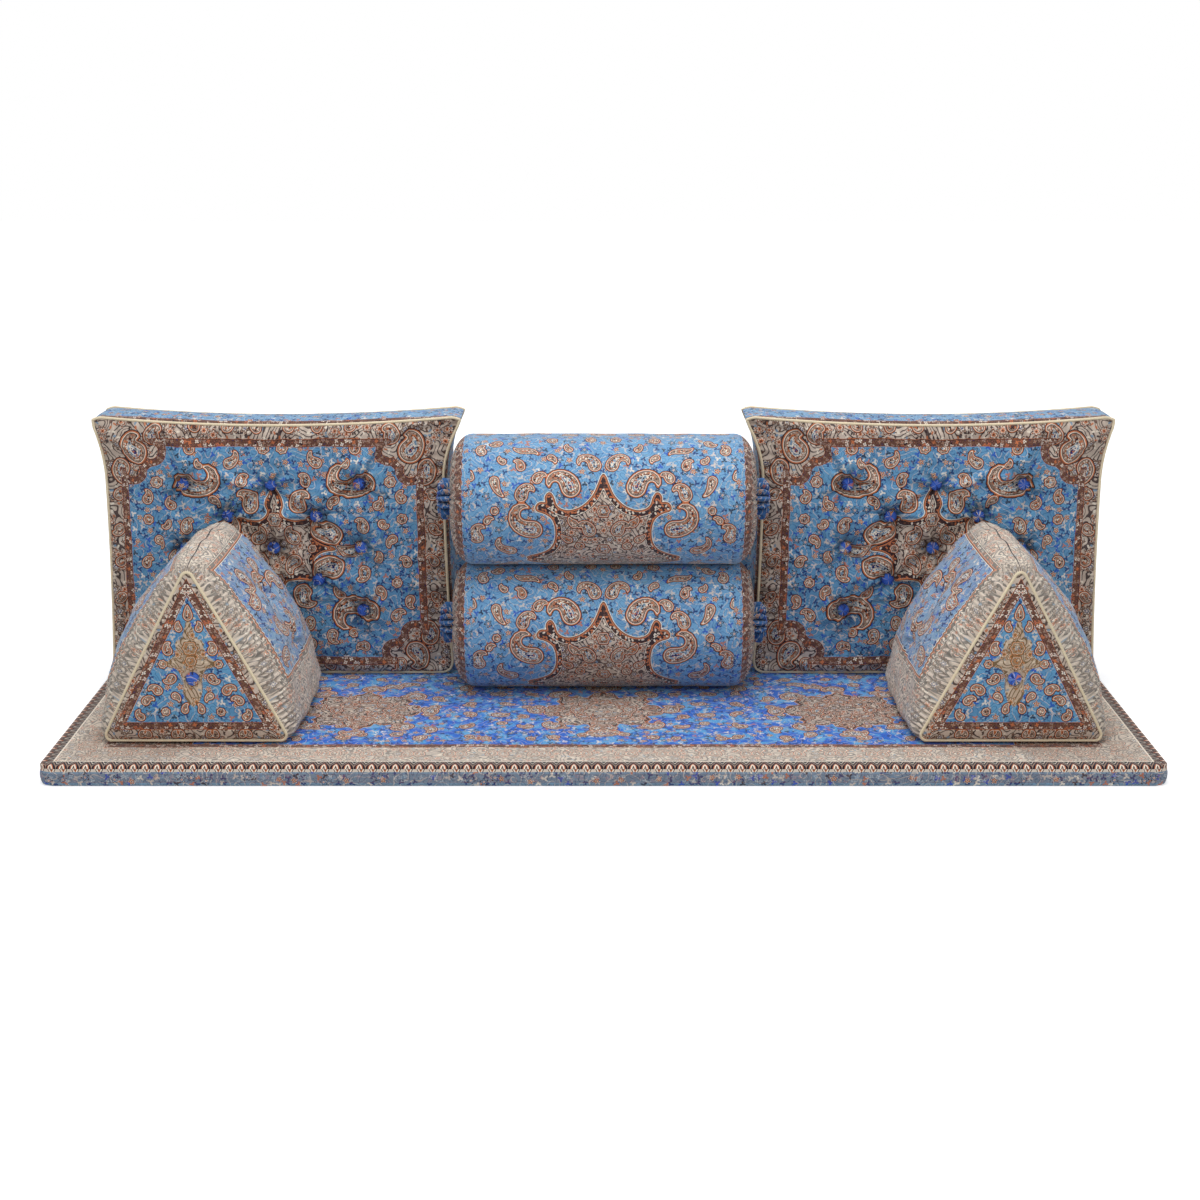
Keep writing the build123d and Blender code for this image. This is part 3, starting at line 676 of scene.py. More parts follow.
for height in heights:
    draw = base_draw * np.clip((seam_level - height) / seam_level, 0, 1) ** 2
    climb = np.clip((height - seam_level) / (wrap_level - seam_level), 0, 1)
    swell = side_swell * math.sin(math.pi * climb)
    scale = np.array([1 + (swell - draw) / half_length, 1 + (swell - draw) / half_depth])
    side_rows.append(np.column_stack([rim[:, :2] * scale, np.full(len(rim), height)]))
side_grid = np.stack(side_rows)
base_half_x, base_half_y = half_length - base_draw, half_depth - base_draw
base_x, base_y = np.meshgrid(np.linspace(-1, 1, 60), np.linspace(-1, 1, 24), indexing="xy")
base_grid = np.stack([
    *rounded(base_x * base_half_x, base_y * base_half_y, base_half_x, base_half_y, mattress_corner),
    0 * base_x], axis=-1)
run_grid = np.broadcast_to(run, side_grid.shape[:2])
border_reach, guard_width, teeth_pitch, teeth_height = 0.112, 0.016, 0.021, 0.034
teeth_reach, edging_reach = 0.023, 0.026
medallion_pitch, medallion_radius, medallion_y = 0.46, 0.108, -0.075
quarter_x, quarter_y, quarter_shift, quarter_radius = 0.86, 0.25, 0.02, 0.11
field_gap = edge_reach - border_reach
bearing_x = np.abs(np.abs(along) - medallion_pitch * (np.abs(along) > medallion_pitch / 2))
bearing_y = across - medallion_y
bearing = np.arctan2(bearing_y, bearing_x)
scallops = 1 + 0.13 * np.cos(8 * bearing) + 0.05 * np.cos(24 * bearing)
medallion = np.hypot(bearing_x, 1.15 * bearing_y) - medallion_radius * scallops
quarter = np.hypot(np.abs(along) - quarter_x, np.abs(across + quarter_shift) - quarter_y)
medallion = np.minimum(medallion, quarter - quarter_radius)
mattress_motifs = sown(5, (0.0, -0.25), (0.88, 0.25), 0.058, 0.0095)
for middle in (0.0, medallion_pitch):
    for step in range(8):
        turn = step * math.pi / 4
        for distance, size in ((0.128, 0.015), (0.05, 0.0115)):
            mattress_motifs.append((
                middle + distance * math.cos(turn), medallion_y + distance * math.sin(turn), size,
                2.4 * size, math.degrees(turn) + 60, 140,
            ))
pair_pitch, pair_count, border_middle = 0.075, 14, 0.06
border_motifs = [
    (pair * pair_pitch + start, border_middle, 0.0095, 0.032, heading, curl)
    for start, heading, curl in ((0.03, 70, 150), (0.052, 110, -150)) for pair in range(pair_count)
]
edge_pace = np.where(half_length - np.abs(along) < half_depth - np.abs(across), across, along)
mattress_motif = np.where(
    field_gap > 0,
    drops(np.abs(along), across, mattress_motifs),
    drops(np.abs(edge_pace), edge_reach, border_motifs),
)
mattress_fields = {"edge": edge_reach, "pace": edge_pace, "motif": mattress_motif, "ground": medallion}


def toothed(tree, pace, share):
    """A dark border with pale teeth along it, each tooth lined in rust."""
    wave = number(tree, "PINGPONG", pace, teeth_pitch / 2)
    climb = number(tree, "MULTIPLY_ADD", wave, -1.3 / teeth_pitch, share)
    return bands(tree, climb, -1.0, 1.0, [
        (-1.0, beige), (-0.3, brown), (-0.2, cream), (-0.04, rust), (0.06, dark), (0.3, tan),
        (0.42, dark), (0.62, cream), (0.7, dark)])


def mattress_layers(tree, cloth, read):
    """Blue field with medallions, guard stripe, beige border and toothed edge, by the distance
    from the edge."""
    edge, pace, ground = read("edge"), read("pace"), read("ground")
    border = below(tree, edge, border_reach)
    mottle, _ = grain(tree, cloth, 34.0, 3.0)
    blues = bands(tree, mottle, 0.0, 1.0, [(0.46, dye(26, 100, 208)), (0.6, dye(96, 176, 226))], "LINEAR")
    woven = lay_group(tree, brocade, {
        "Cloth": cloth, "Motif": read("motif"), "Field": blues, "Deep": dye(60, 130, 220),
        "Ground": number(tree, "MULTIPLY_ADD", border, -1.0, ground)})
    colour = toned(tree, woven["Colour"], border, 0.3, cream)
    colour = stripe(tree, edge, pace, border_reach - guard_width, border_reach, colour)
    share = number(tree, "DIVIDE", number(tree, "ADD", edge, mattress_wrap), teeth_height)
    colour = toned(tree, colour, below(tree, ground, 0.0), 0.14, earth)
    colour = over(tree, below(tree, edge, edging_reach), colour, cream)
    colour = over(tree, below(tree, edge, teeth_reach), colour, toothed(tree, pace, share))
    return colour, woven["Height"]


def strip_layers(tree, cloth, read):
    """The toothed edge wraps down to the side seam; under it runs a blue-grey strip."""
    along_side, height = parts_of(tree, cloth)
    share = number(tree, "DIVIDE", number(tree, "SUBTRACT", height, wrap_level), teeth_height)
    teeth = toothed(tree, along_side, share)
    woven = lay_group(tree, brocade, {"Cloth": cloth, "Field": dye(128, 156, 178), "Deep": dye(64, 88, 122)})
    rows = stripe(tree, height, along_side, 0.007, 0.024, woven["Colour"])
    colour = over(tree, 0.3, woven["Colour"], rows)
    return over(tree, above(tree, height, wrap_level), colour, teeth), woven["Height"]


def lining_layers(tree, cloth, read):
    """Plain weave of the base: a dark cotton, a little uneven."""
    warp_shade, _ = grain(tree, stretched(tree, cloth, (1400.0, 300.0, 1.0)), 1.0, 1.0)
    weft_shade, _ = grain(tree, stretched(tree, cloth, (300.0, 1400.0, 1.0)), 1.0, 1.0)
    shade = times(tree, warp_shade, weft_shade)
    return bands(tree, shade, 0.1, 0.4, [(0.1, dark), (0.4, brown)], "LINEAR"), shade


mattress_cloth = cloth_finish("mattress_brocade", mattress_layers)
mattress_strip = cloth_finish("mattress_strip", strip_layers)
lining = cloth_finish("lining", lining_layers, 0.9, 0.0004, 0.0)
mattress = sew(
    "mattress_pad",
    [
        patch(top_grid, np.stack([along, across], axis=-1), 0, mattress_fields),
        patch(side_grid, np.stack([run_grid, side_grid[..., 2]], axis=-1), 1, reverse=True),
        patch(base_grid, np.stack([base_x, base_y], axis=-1), 2, reverse=True),
    ],
    [mattress_cloth, mattress_strip, lining],
)
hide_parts("mattress_top_panel", "mattress_side_band", "mattress_base_panel", "mattress_foam")
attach(mattress, "mattress")


# Back cushions: fibre in a boxed cover, piped along both seams and tufted with thirteen
# covered buttons, whose twines draw the cloth in through the stuffing.
lay_gap = 0.0003
mattress_top = mattress_height + lay_gap
back_half_width, back_half_height, back_band = 0.366, 0.265, 0.110
back_middle_x, back_front_y = 0.6475, 0.158
back_waist, back_waist_level, back_top_draw = 0.335, 0.135, 0.018
back_outer_ear, back_inner_ear, back_foot_flare = 0.026, 0.042, 0.012
corner_from_a, corner_span_a, corner_from_b, corner_span_b, corner_draw = 0.935, 0.065, 0.91, 0.09, 0.0068
back_crown, button_floor, button_ease = 0.038, 0.0095, 0.0105
piping_radius = 0.0028
button_across, button_up, button_lean = 0.174, 0.0645, 0.007
button_places = [
    ((column - (count - 1) / 2) * button_across - button_lean, (2 - row) * button_up)
    for row, count in enumerate((3, 2, 3, 2, 3)) for column in range(count)
]
button_diagonal = math.hypot(button_across / 2, button_up)

# Heights and reaches of what stands on a face: the dip and folds round each button, the valleys
# between buttons, and the puckers along the seam.
face_waver, dip_reach, fold_height, fold_reach = 0.0022, 0.021, 0.0044, 0.011
valley_depth, valley_reach = 0.0095, 0.0090
pucker_height, pucker_pitch, pucker_reach, pucker_start = 0.0017, 0.021, 0.026, 0.004

# Long wrinkles from the inner seam into the face: level, where each starts, strength.
wrinkle_depth, wrinkle_reach, wrinkle_start = 0.0016, 0.0036, 0.03
inner_wrinkles = [
    (0.128, 0.275, 0.8), (0.112, 0.30, 0.6), (-0.030, 0.235, 1.0), (-0.043, 0.25, 0.7),
    (-0.083, 0.225, 1.0), (-0.094, 0.24, 0.8), (-0.150, 0.29, 0.7),
]


def back_face(a, b, inset):
    """Points of a back cushion's seam plane for shares a across and b up, from -1 to 1. The
    sides follow two parabolas that meet at the waist, the top one parabola between the ears.
    """
    level = b * back_half_height
    over_waist = np.clip(level - back_waist_level, 0, None) / (back_half_height - back_waist_level)
    under_waist = np.clip(back_waist_level - level, 0, None) / (back_half_height + back_waist_level)
    ear = np.where(a > 0, back_inner_ear, back_outer_ear)
    half = back_waist + ear * over_waist ** 2 + back_foot_flare * under_waist ** 2 - inset
    foot = inset - back_half_height
    brow = back_half_height - back_top_draw * (1 - a ** 2) - inset
    x = a * half
    z = foot + (brow - foot) * (b + 1) / 2
    depth = np.clip((np.abs(a) - corner_from_a) / corner_span_a, 0, 1)
    depth = depth * np.clip((np.abs(b) - corner_from_b) / corner_span_b, 0, 1)
    draw = corner_draw * depth ** 1.3
    return x - np.sign(a) * draw, z - np.sign(b) * draw


def tufted_swell(x, z, a, b, seed):
    """How far a tufted face stands out of its seam plane: a crown that dies out at the seams,
    drawn in to a floor round each button, with a valley along each line to a diagonal
    neighbour, folds that run out from each button and puckers along the seam; and a painted
    shade from 0 to 1, darker round each button, in the puckers' hollows and along the wrinkles."""
    chance = np.random.default_rng(seed)
    swell = back_crown * np.sqrt((1 - np.abs(a) ** 4.5) * (1 - np.abs(b) ** 4.5))
    fullness = np.clip(swell / back_crown, 0, 1)
    swell = swell + face_waver * ripple(x, z, 0.13, seed) * fullness
    dip = np.zeros(x.shape)
    folds = np.zeros(x.shape)
    for place in button_places:
        gap = np.hypot(x - place[0], z - place[1])
        heading = np.arctan2(z - place[1], x - place[0])
        clear = np.clip(gap - button_ease, 0, None)
        dip = np.maximum(dip, np.exp(-(clear / dip_reach) ** 1.1))
        count = chance.integers(7, 10)
        phase = chance.uniform(0, 2 * math.pi)
        crease_and_painted_shade = np.cos(count * heading + phase + 0.5 * np.sin(2 * heading + phase))
        crease_and_painted_shade = np.sign(crease_and_painted_shade) * np.abs(crease_and_painted_shade) ** 0.8
        folds += fold_height * crease_and_painted_shade * (clear / fold_reach) * np.exp(1 - clear / fold_reach)
    for first, start in enumerate(button_places):
        for end in button_places[first + 1:]:
            span = math.hypot(start[0] - end[0], start[1] - end[1])
            if abs(span - button_diagonal) < 0.01:
                gap, share = segment_gap(x, z, start, end)
                valley = valley_depth * np.exp(-(gap / valley_reach) ** 2)
                swell = swell - valley * np.sin(math.pi * share) ** 0.5
    swell = swell - np.clip(swell - button_floor, 0, None) * dip + folds * fullness
    gap_x, gap_z = (1 - np.abs(a)) * back_waist, (1 - np.abs(b)) * back_half_height
    side_gap = np.minimum(gap_x, gap_z)
    pace = np.where(gap_x < gap_z, z, x)
    pucker = np.sin(2 * math.pi * pace / pucker_pitch + 2.5 * ripple(x, z, 0.09, seed + 1))
    pucker = pucker * np.exp(-side_gap / pucker_reach) * np.clip(side_gap / pucker_start, 0, 1)
    pucker = pucker * (0.7 + 0.5 * ripple(x, z, 0.15, seed + 2))
    swell = swell + pucker_height * pucker
    wrinkle = np.zeros(x.shape)
    for level, start, strength in inner_wrinkles:
        bend = z - level - 0.05 * (x - start) * math.sin(90 * level)
        line = np.exp(-(bend / wrinkle_reach) ** 2) * np.clip((x - start) / wrinkle_start, 0, 1)
        wrinkle = np.maximum(wrinkle, strength * line * np.clip(side_gap / 0.006, 0, 1))
    swell = swell - wrinkle_depth * wrinkle
    # Painted shade for the colour: darker round each button, in the puckers' hollows and along the wrinkles.
    shade = np.clip(-pucker, 0, 1) * 0.5 + 0.9 * dip ** 1.4 + 0.75 * wrinkle
    return swell, np.clip(shade, 0, 1)


def settled(grid, held, growth, pressure, steps, most):
    """Cloth simulation of a stuffed face: its cloth, cut wider than its seams by the growth, is
    pressed outwards by the filling while the held points stay. Each point may move at most a
    given way."""
    rows, columns = grid.shape[:2]
    trial = sew("trial_face", [patch(grid, grid[..., :2])], [])
    group = trial.vertex_groups.new(name="held")
    group.add(np.flatnonzero(held.reshape(-1)).tolist(), 1.0, "REPLACE")
    cloth = trial.modifiers.new("filling", "CLOTH")
    cloth.settings.vertex_group_mass = "held"
    cloth.settings.quality = 5
    cloth.settings.mass = 0.25
    cloth.settings.tension_stiffness = cloth.settings.compression_stiffness = 14.0
    cloth.settings.shear_stiffness = 4.0
    cloth.settings.bending_stiffness = 0.35
    cloth.settings.shrink_min = -growth
    cloth.settings.use_pressure = True
    cloth.settings.uniform_pressure_force = pressure
    cloth.settings.effector_weights.gravity = 0.0
    cloth.collision_settings.use_collision = False
    cloth.point_cache.frame_start, cloth.point_cache.frame_end = 1, steps
    for step in range(1, steps + 1):
        bpy.context.scene.frame_set(step)
    shaped = trial.evaluated_get(bpy.context.evaluated_depsgraph_get()).data
    points = np.empty(rows * columns * 3, np.float32)
    shaped.vertices.foreach_get("co", points)
    bpy.context.scene.frame_set(1)
    bpy.data.objects.remove(trial, do_unlink=True)
    moved = points.reshape(grid.shape) - grid
    length = np.linalg.norm(moved, axis=-1, keepdims=True)
    return grid + moved * np.minimum(1.0, most / np.maximum(length, 1e-9))


def between(coarse):
    """A grid with a point added between each two of its points, at their mean."""
    rows = np.repeat(coarse, 2, axis=0)[:-1]
    rows[1::2] = (coarse[:-1] + coarse[1:]) / 2
    fine = np.repeat(rows, 2, axis=1)[:, :-1]
    fine[:, 1::2] = (rows[:, :-1] + rows[:, 1:]) / 2
    return fine


def cord_ring(loop, centre_y, radius, sides, turns):
    """Piping: a tube along a closed upright loop of points (x, z). Each ring of the tube lies
    across the loop's direction; a slight ridge winds round it as its cord's twist."""
    ahead = np.roll(loop, -1, axis=0) - np.roll(loop, 1, axis=0)
    ahead /= np.linalg.norm(ahead, axis=1)[:, None]
    outward = np.column_stack([ahead[:, 1], -ahead[:, 0]])
    angle = np.linspace(0, 2 * math.pi, sides + 1)
    pace = np.linspace(0, 2 * math.pi * turns, len(loop))
    thick = radius * (1 + 0.035 * np.cos(angle[:, None] * 2 + pace[None, :]))
    reach = thick * np.cos(angle)[:, None]
    depth = thick * np.sin(angle)[:, None]
    grid = np.stack(
        [loop[:, 0] + outward[:, 0] * reach, centre_y + depth, loop[:, 1] + outward[:, 1] * reach],
        axis=-1,
    )
    return np.concatenate([grid, grid[:, :1]], axis=1)


def cord_cloth(ring):
    """Cloth coordinates of a cord: 10 mm for each of its rings and each of its sides."""
    return np.stack(np.meshgrid(np.arange(ring.shape[1]), np.arange(ring.shape[0])), axis=-1) * 0.01


def dome_points(radius, rim, dome, rings, sides):
    """A covered button about Z: a profile of a round rim and a low dome, turned full circle."""
    share = np.linspace(0, 1, rings)
    turned = np.linspace(0, 2 * math.pi, sides + 1)
    reach = radius * np.sin(share * math.pi / 2) ** 0.8
    level = rim + dome * np.cos(share * math.pi / 2) ** 1.1
    reach = np.concatenate([reach, [radius * 0.99, radius * 0.9]])
    level = np.concatenate([level, [rim * 0.4, 0.0]])
    reach, level = reach[:, None], level[:, None]
    return np.stack([reach * np.cos(turned), reach * np.sin(turned), level + 0 * turned], axis=-1)


face_dye, face_deep = dye(106, 162, 202), dye(42, 86, 148)
frame_width = 0.0155


def cushion_layers(tree, cloth, read):
    """Blue field in a guard stripe that steps round the corners, in a beige border."""
    gap = read("frame_gap")
    ground = number(tree, "MULTIPLY_ADD", above(tree, gap, 0.0), -1.0, read("ground"))
    # The colour is darkened by painted shade round the buttons, in the puckers and along the wrinkles.
    woven = lay_group(tree, brocade, {
        "Cloth": cloth, "Motif": read("motif"), "Ground": ground, "Field": face_dye, "Deep": face_deep,
        "Painted_shade": read("crease_and_painted_shade")})
    colour = toned(tree, woven["Colour"], below(tree, ground, 0.0), 0.16, earth)
    return stripe(tree, gap, read("pace"), 0.0, frame_width, colour), woven["Height"]


def band_layers(tree, cloth, read):
    """The small pattern of the gussets, in rows."""
    woven = lay_group(tree, brocade, {"Cloth": cloth, "Field": dye(132, 178, 214), "Deep": dye(52, 92, 156)})
    along_band, level = parts_of(tree, cloth)
    row = number(tree, "PINGPONG", level, back_band / 2)
    return stripe(tree, row, along_band, 0.046, 0.0555, woven["Colour"]), woven["Height"]


def rear_layers(tree, cloth, read):
    """The back of a cushion, where only the small sprays of the cloth show."""
    # The colour is darkened by painted shade round the buttons, in the puckers and along the wrinkles.
    woven = lay_group(tree, brocade, {
        "Cloth": cloth, "Motif": read("motif"), "Field": face_dye, "Deep": face_deep,
        "Painted_shade": read("crease_and_painted_shade")})
    return woven["Colour"], woven["Height"]


def satin_layers(tree, cloth, read):
    """Cream satin over a cord: fine slanting threads."""
    slant = tree.nodes.new("ShaderNodeVectorRotate")
    slant.rotation_type = "Z_AXIS"
    slant.inputs["Angle"].default_value = math.radians(38)
    wire(tree, cloth, slant.inputs["Vector"])
    threads, _ = grain(tree, stretched(tree, slant.outputs[0], (90.0, 900.0, 1.0)), 1.0, 2.0)
    satin = [(0.3, dye(222, 200, 160)), (0.7, dye(250, 240, 216))]
    return bands(tree, threads, 0.3, 0.7, satin, "LINEAR"), threads


def button_layers(tree, cloth, read):
    """Covered buttons, cut from the royal blue of the same cloth."""
    woven = lay_group(tree, brocade, {"Cloth": cloth, "Field": dye(66, 112, 214), "Deep": dye(24, 44, 130)})
    return woven["Colour"], woven["Height"]


cushion_front = cloth_finish("cushion_brocade", cushion_layers)
cushion_band = cloth_finish("cushion_band", band_layers)
cushion_rear = cloth_finish("cushion_rear", rear_layers)
piping_cloth = cloth_finish("piping_satin", satin_layers, 0.45, 0.0003, 0.1)
button_cloth = cloth_finish("button_cloth", button_layers, 0.6, 0.0003, 0.2)

# Half of the face's star-shaped medallion, and the drops of half a face.
star_half = [
    (-0.02, 0.135), (0.0, 0.13), (0.010, 0.111), (0.018, 0.090), (0.010, 0.075), (0.023, 0.059),
    (0.048, 0.054), (0.068, 0.066), (0.078, 0.046), (0.070, 0.023), (0.089, 0.006), (0.125, 0.0),
]
star = star_half + [(x, -y) for x, y in star_half[-2::-1]]
cushion_motifs = [
    (0.180, 0.134, 0.021, 0.115, 217, -200), (0.180, -0.127, 0.021, 0.115, 143, 200),
    (0.112, 0.031, 0.021, 0.055, 190, -120), (0.112, -0.037, 0.021, 0.055, 170, 120),
    (0.150, -0.006, 0.012, 0.034, 180, -80), (0.047, 0.090, 0.016, 0.046, 100, -150),
    (0.047, -0.090, 0.016, 0.046, 260, 150), (0.162, 0.205, 0.0095, 0.024, 70, 150),
    (0.086, 0.176, 0.0095, 0.032, 160, -110), (0.144, 0.173, 0.006, 0.016, 40, 90),
    (0.063, 0.140, 0.0105, 0.022, 90, 120), (0.018, 0.205, 0.0105, 0, 0, 0),
    (0.233, 0.137, 0.010, 0, 0, 0), (0.254, 0.100, 0.009, 0.024, 130, -120),
    (0.205, 0.088, 0.0085, 0.022, 20, 130), (0.175, 0.045, 0.0105, 0.026, 80, 140),
    (0.254, 0.060, 0.009, 0, 0, 0), (0.235, 0.020, 0.0085, 0.022, 200, 120),
    (0.212, 0.052, 0.0075, 0.02, 300, 120), (0.175, -0.046, 0.0105, 0.026, 280, -140),
    (0.205, -0.085, 0.009, 0.024, 330, -130), (0.262, -0.030, 0.0085, 0.022, 90, 140),
    (0.240, -0.070, 0.009, 0, 0, 0), (0.265, -0.105, 0.0085, 0.024, 240, 120),
    (0.235, -0.140, 0.0095, 0.026, 70, -130), (0.104, -0.178, 0.010, 0.026, 250, 130),
    (0.145, -0.176, 0.0085, 0, 0, 0), (0.170, -0.205, 0.0095, 0.024, 160, 120),
    (0.060, -0.150, 0.009, 0.024, 300, -130), (0.060, -0.205, 0.0085, 0.022, 40, 130),
    (0.018, -0.200, 0.0105, 0, 0, 0), (0.120, 0.100, 0.0085, 0.022, 200, 110),
    (0.125, -0.095, 0.0085, 0.022, 160, -110), (0.205, -0.02, 0.007, 0.02, 60, 90),
    (0.0, 0.062, 0.013, 0, 0, 0), (0.0, -0.062, 0.013, 0, 0, 0),
    (0.035, 0.022, 0.012, 0.03, 150, -120), (0.035, -0.022, 0.012, 0.03, 210, 120),
    (0.072, 0.0, 0.008, 0, 0, 0), (0.272, 0.196, 0.022, 0.05, 45, 150),
    (0.304, 0.162, 0.017, 0.04, 300, -140), (0.236, 0.226, 0.015, 0.03, 90, 140),
    (0.272, -0.216, 0.020, 0.05, 315, -150), (0.302, -0.185, 0.017, 0.04, 60, 140),
    (0.240, -0.243, 0.011, 0.03, 270, -140), (0.315, 0.105, 0.009, 0.022, 90, 150),
    (0.315, 0.04, 0.009, 0.022, 270, 150), (0.315, -0.03, 0.009, 0.022, 90, 150),
    (0.315, -0.1, 0.009, 0.022, 270, 150), (0.03, 0.242, 0.008, 0.02, 0, 150),
    (0.09, 0.242, 0.008, 0.02, 180, -150), (0.15, 0.243, 0.008, 0.02, 0, 150),
    (0.03, -0.252, 0.007, 0.018, 0, 150), (0.1, -0.252, 0.007, 0.018, 180, -150),
]

share_a, share_b = np.meshgrid(np.linspace(-1, 1, 221), np.linspace(-1, 1, 161), indexing="xy")
seam_inset = 0.003
face_x, face_z = back_face(share_a, share_b, seam_inset)

# The frame of the guard stripe, whose corners step round three lobes each: x, z, radius.
frame_reach_x, frame_reach_z = 0.287, 0.2183
frame_lobes = [(0.287, 0.220, 0.064), (0.236, 0.207, 0.029), (0.276, 0.168, 0.029)]
frame_x, frame_z = np.abs(face_x + 0.004), np.abs(face_z + 0.0102)
frame_gap = np.maximum(frame_x - frame_reach_x, frame_z - frame_reach_z)
frame_pace = np.where(frame_x - frame_reach_x > frame_z - frame_reach_z, face_z, face_x)
for lobe_x, lobe_z, lobe_size in frame_lobes:
    lobe_gap = lobe_size - np.hypot(frame_x - lobe_x, frame_z - lobe_z)
    lobe_pace = lobe_size * np.arctan2(frame_z - lobe_z, frame_x - lobe_x)
    frame_pace = np.where(lobe_gap > frame_gap, lobe_pace, frame_pace)
    frame_gap = np.maximum(frame_gap, lobe_gap)
cushion_fields = {
    "frame_gap": frame_gap,
    "pace": frame_pace,
    "motif": drops(np.abs(face_x), face_z, cushion_motifs),
    "ground": outline_gap(np.abs(face_x), face_z, eased(star)),
}
rear_fields = {"motif": drops(face_x, face_z, sown(7, (-0.34, -0.26), (0.34, 0.26), 0.052, 0.0085))}
# Each face's swell, and the painted shade that darkens its colour round the tufts.
front_swell, cushion_fields["crease_and_painted_shade"] = tufted_swell(face_x, face_z, share_a, share_b, 11)
rear_swell, rear_fields["crease_and_painted_shade"] = tufted_swell(face_x, face_z, share_a, share_b, 23)
face_middle_z = mattress_top + back_half_height
front_grid = np.stack([face_x, back_front_y - front_swell, face_z + face_middle_z], axis=-1)
rear_grid = np.stack([face_x, back_front_y + back_band + rear_swell, face_z + face_middle_z], axis=-1)
held_share, held_radius = 0.985, 0.0125
seam_held = np.maximum(np.abs(share_a), np.abs(share_b)) > held_share
for place in button_places:
    seam_held |= np.hypot(face_x - place[0], face_z - place[1]) < held_radius

# Every second point of each face is settled, and those between follow them.
cloth_growth, filling_press, settle_steps, settle_most = 0.045, 6.0, 16, 0.012
front_start, rear_start, coarse_held = front_grid[::2, ::2], rear_grid[::2, ::2], seam_held[::2, ::2]
front_end = settled(front_start, coarse_held, cloth_growth, -filling_press, settle_steps, settle_most)
rear_end = settled(rear_start, coarse_held, cloth_growth, filling_press, settle_steps, settle_most)
front_grid = front_grid + between(front_end - front_start)
rear_grid = rear_grid + between(rear_end - rear_start)

# The gusset bulges between its seams, and is pressed out behind the bolsters.
band_bulge, inner_press, band_ripple = 0.013, 0.034, 0.0006
press_middle, press_span, press_level, press_height, press_from = 0.8, 0.14, 0.24, 0.19, 0.25
hold_share, hold_reach = 0.95, 0.075
front_rim = closed_loop(loop_of(front_grid))
rim_run = loop_pace(front_rim)
rim_x, rim_level = front_rim[:, 0:1], front_rim[:, 2:3]
corner_gap = np.hypot(back_half_width - np.abs(rim_x), back_half_height - np.abs(rim_level - face_middle_z))
corner_hold = 1 - hold_share * np.exp(-(corner_gap / hold_reach) ** 2)
out = front_rim - np.array([0.0, 0.0, face_middle_z])
out[:, 1] = 0
out /= np.maximum(np.abs(out[:, 0:1]) / back_half_width, np.abs(out[:, 2:3]) / back_half_height)
band_rows = []
for share in np.linspace(0, 1, 15):
    from_press = ((share - press_middle) / press_span) ** 2 + ((rim_level - press_level) / press_height) ** 4
    pressed = np.exp(-from_press) * (rim_x > press_from)
    bulge = (band_bulge * math.sin(math.pi * share) ** 0.7 + inner_press * pressed) * corner_hold
    row = front_rim + out * bulge / back_half_width
    row[:, 2] = np.maximum(row[:, 2], mattress_top)
    row[:, 1] = back_front_y + back_band * share
    row[:, 2] += band_ripple * ripple(rim_run, share * back_band, 0.06, 8) * math.sin(math.pi * share)
    band_rows.append(row)
band_grid = np.stack(band_rows)
band_run = np.broadcast_to(rim_run, band_grid.shape[:2])
band_cloth = np.stack([band_run, band_grid[..., 1]], axis=-1)
face_cloth = np.stack([face_x, face_z], axis=-1)

cord_sides, cord_turns = 10, 420
stud_radius, stud_rim, stud_dome, stud_seat = 0.0128, 0.002, 0.0058, 0.0105
cord_x, cord_z = back_face(share_a, share_b, piping_radius)
cord_loop = loop_of(np.stack([cord_x, cord_z + face_middle_z], axis=-1))
front_cord = cord_ring(cord_loop, back_front_y - piping_radius, piping_radius, cord_sides, cord_turns)
rear_cord_y = back_front_y + back_band + piping_radius
rear_cord = cord_ring(cord_loop, rear_cord_y, piping_radius, cord_sides, cord_turns)
dome = dome_points(stud_radius, stud_rim, stud_dome, 9, 28)


def placed(grid, sign, middle_x):
    """A pair's grid at the left piece's place (sign -1), or mirrored to the right one's (1)."""
    return grid * np.array([-sign, 1.0, 1.0]) + np.array([sign * middle_x, 0.0, 0.0])


def stud_patch(seat, facing, cloth_place, sign, middle_x):
    """A covered button at its seat in a pair's piece, facing to the front (-1) or back (1)."""
    stud = placed(dome[..., [0, 2, 1]] * np.array([1, facing, 1]) + np.array(seat), sign, middle_x)
    return stud[::-1] if (sign > 0) != (facing > 0) else stud, dome[..., :2] + cloth_place, 0, {}


for side, sign in (("left", -1), ("right", 1)):
    name = f"back_cushion_{side}"
    pad = sew(
        f"{name}_pad",
        [
            patch(placed(front_grid, sign, back_middle_x), face_cloth, 0, cushion_fields, sign > 0),
            patch(placed(rear_grid, sign, back_middle_x), face_cloth, 2, rear_fields, sign < 0),
            patch(placed(band_grid, sign, back_middle_x), band_cloth, 1, {}, sign < 0),
        ],
        [cushion_front, cushion_band, cushion_rear],
    )
    parts = ("core", "side_band", "front_panel", "back_panel", "tuft_twines")
    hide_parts(*[f"{name}_{part}" for part in parts])
    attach(pad, name)
    for part, ring_grid in (("front", front_cord), ("back", rear_cord)):
        ring = patch(placed(ring_grid, sign, back_middle_x), cord_cloth(ring_grid), 0, {}, sign > 0)
        cord = sew(f"{name}_{part}_cord", [ring], [piping_cloth])
        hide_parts(f"{name}_{part}_piping")
        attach(cord, name)
    for part, seat_y, facing in (
        ("front", back_front_y - stud_seat, -1), ("back", back_front_y + back_band + stud_seat, 1),
    ):
        studs = [
            stud_patch((x, seat_y, z + face_middle_z), facing, (x, z), sign, back_middle_x)
            for x, z in button_places
        ]
        buttons = sew(f"{name}_{part}_studs", studs, [button_cloth])
        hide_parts(f"{name}_{part}_buttons")
        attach(buttons, name)


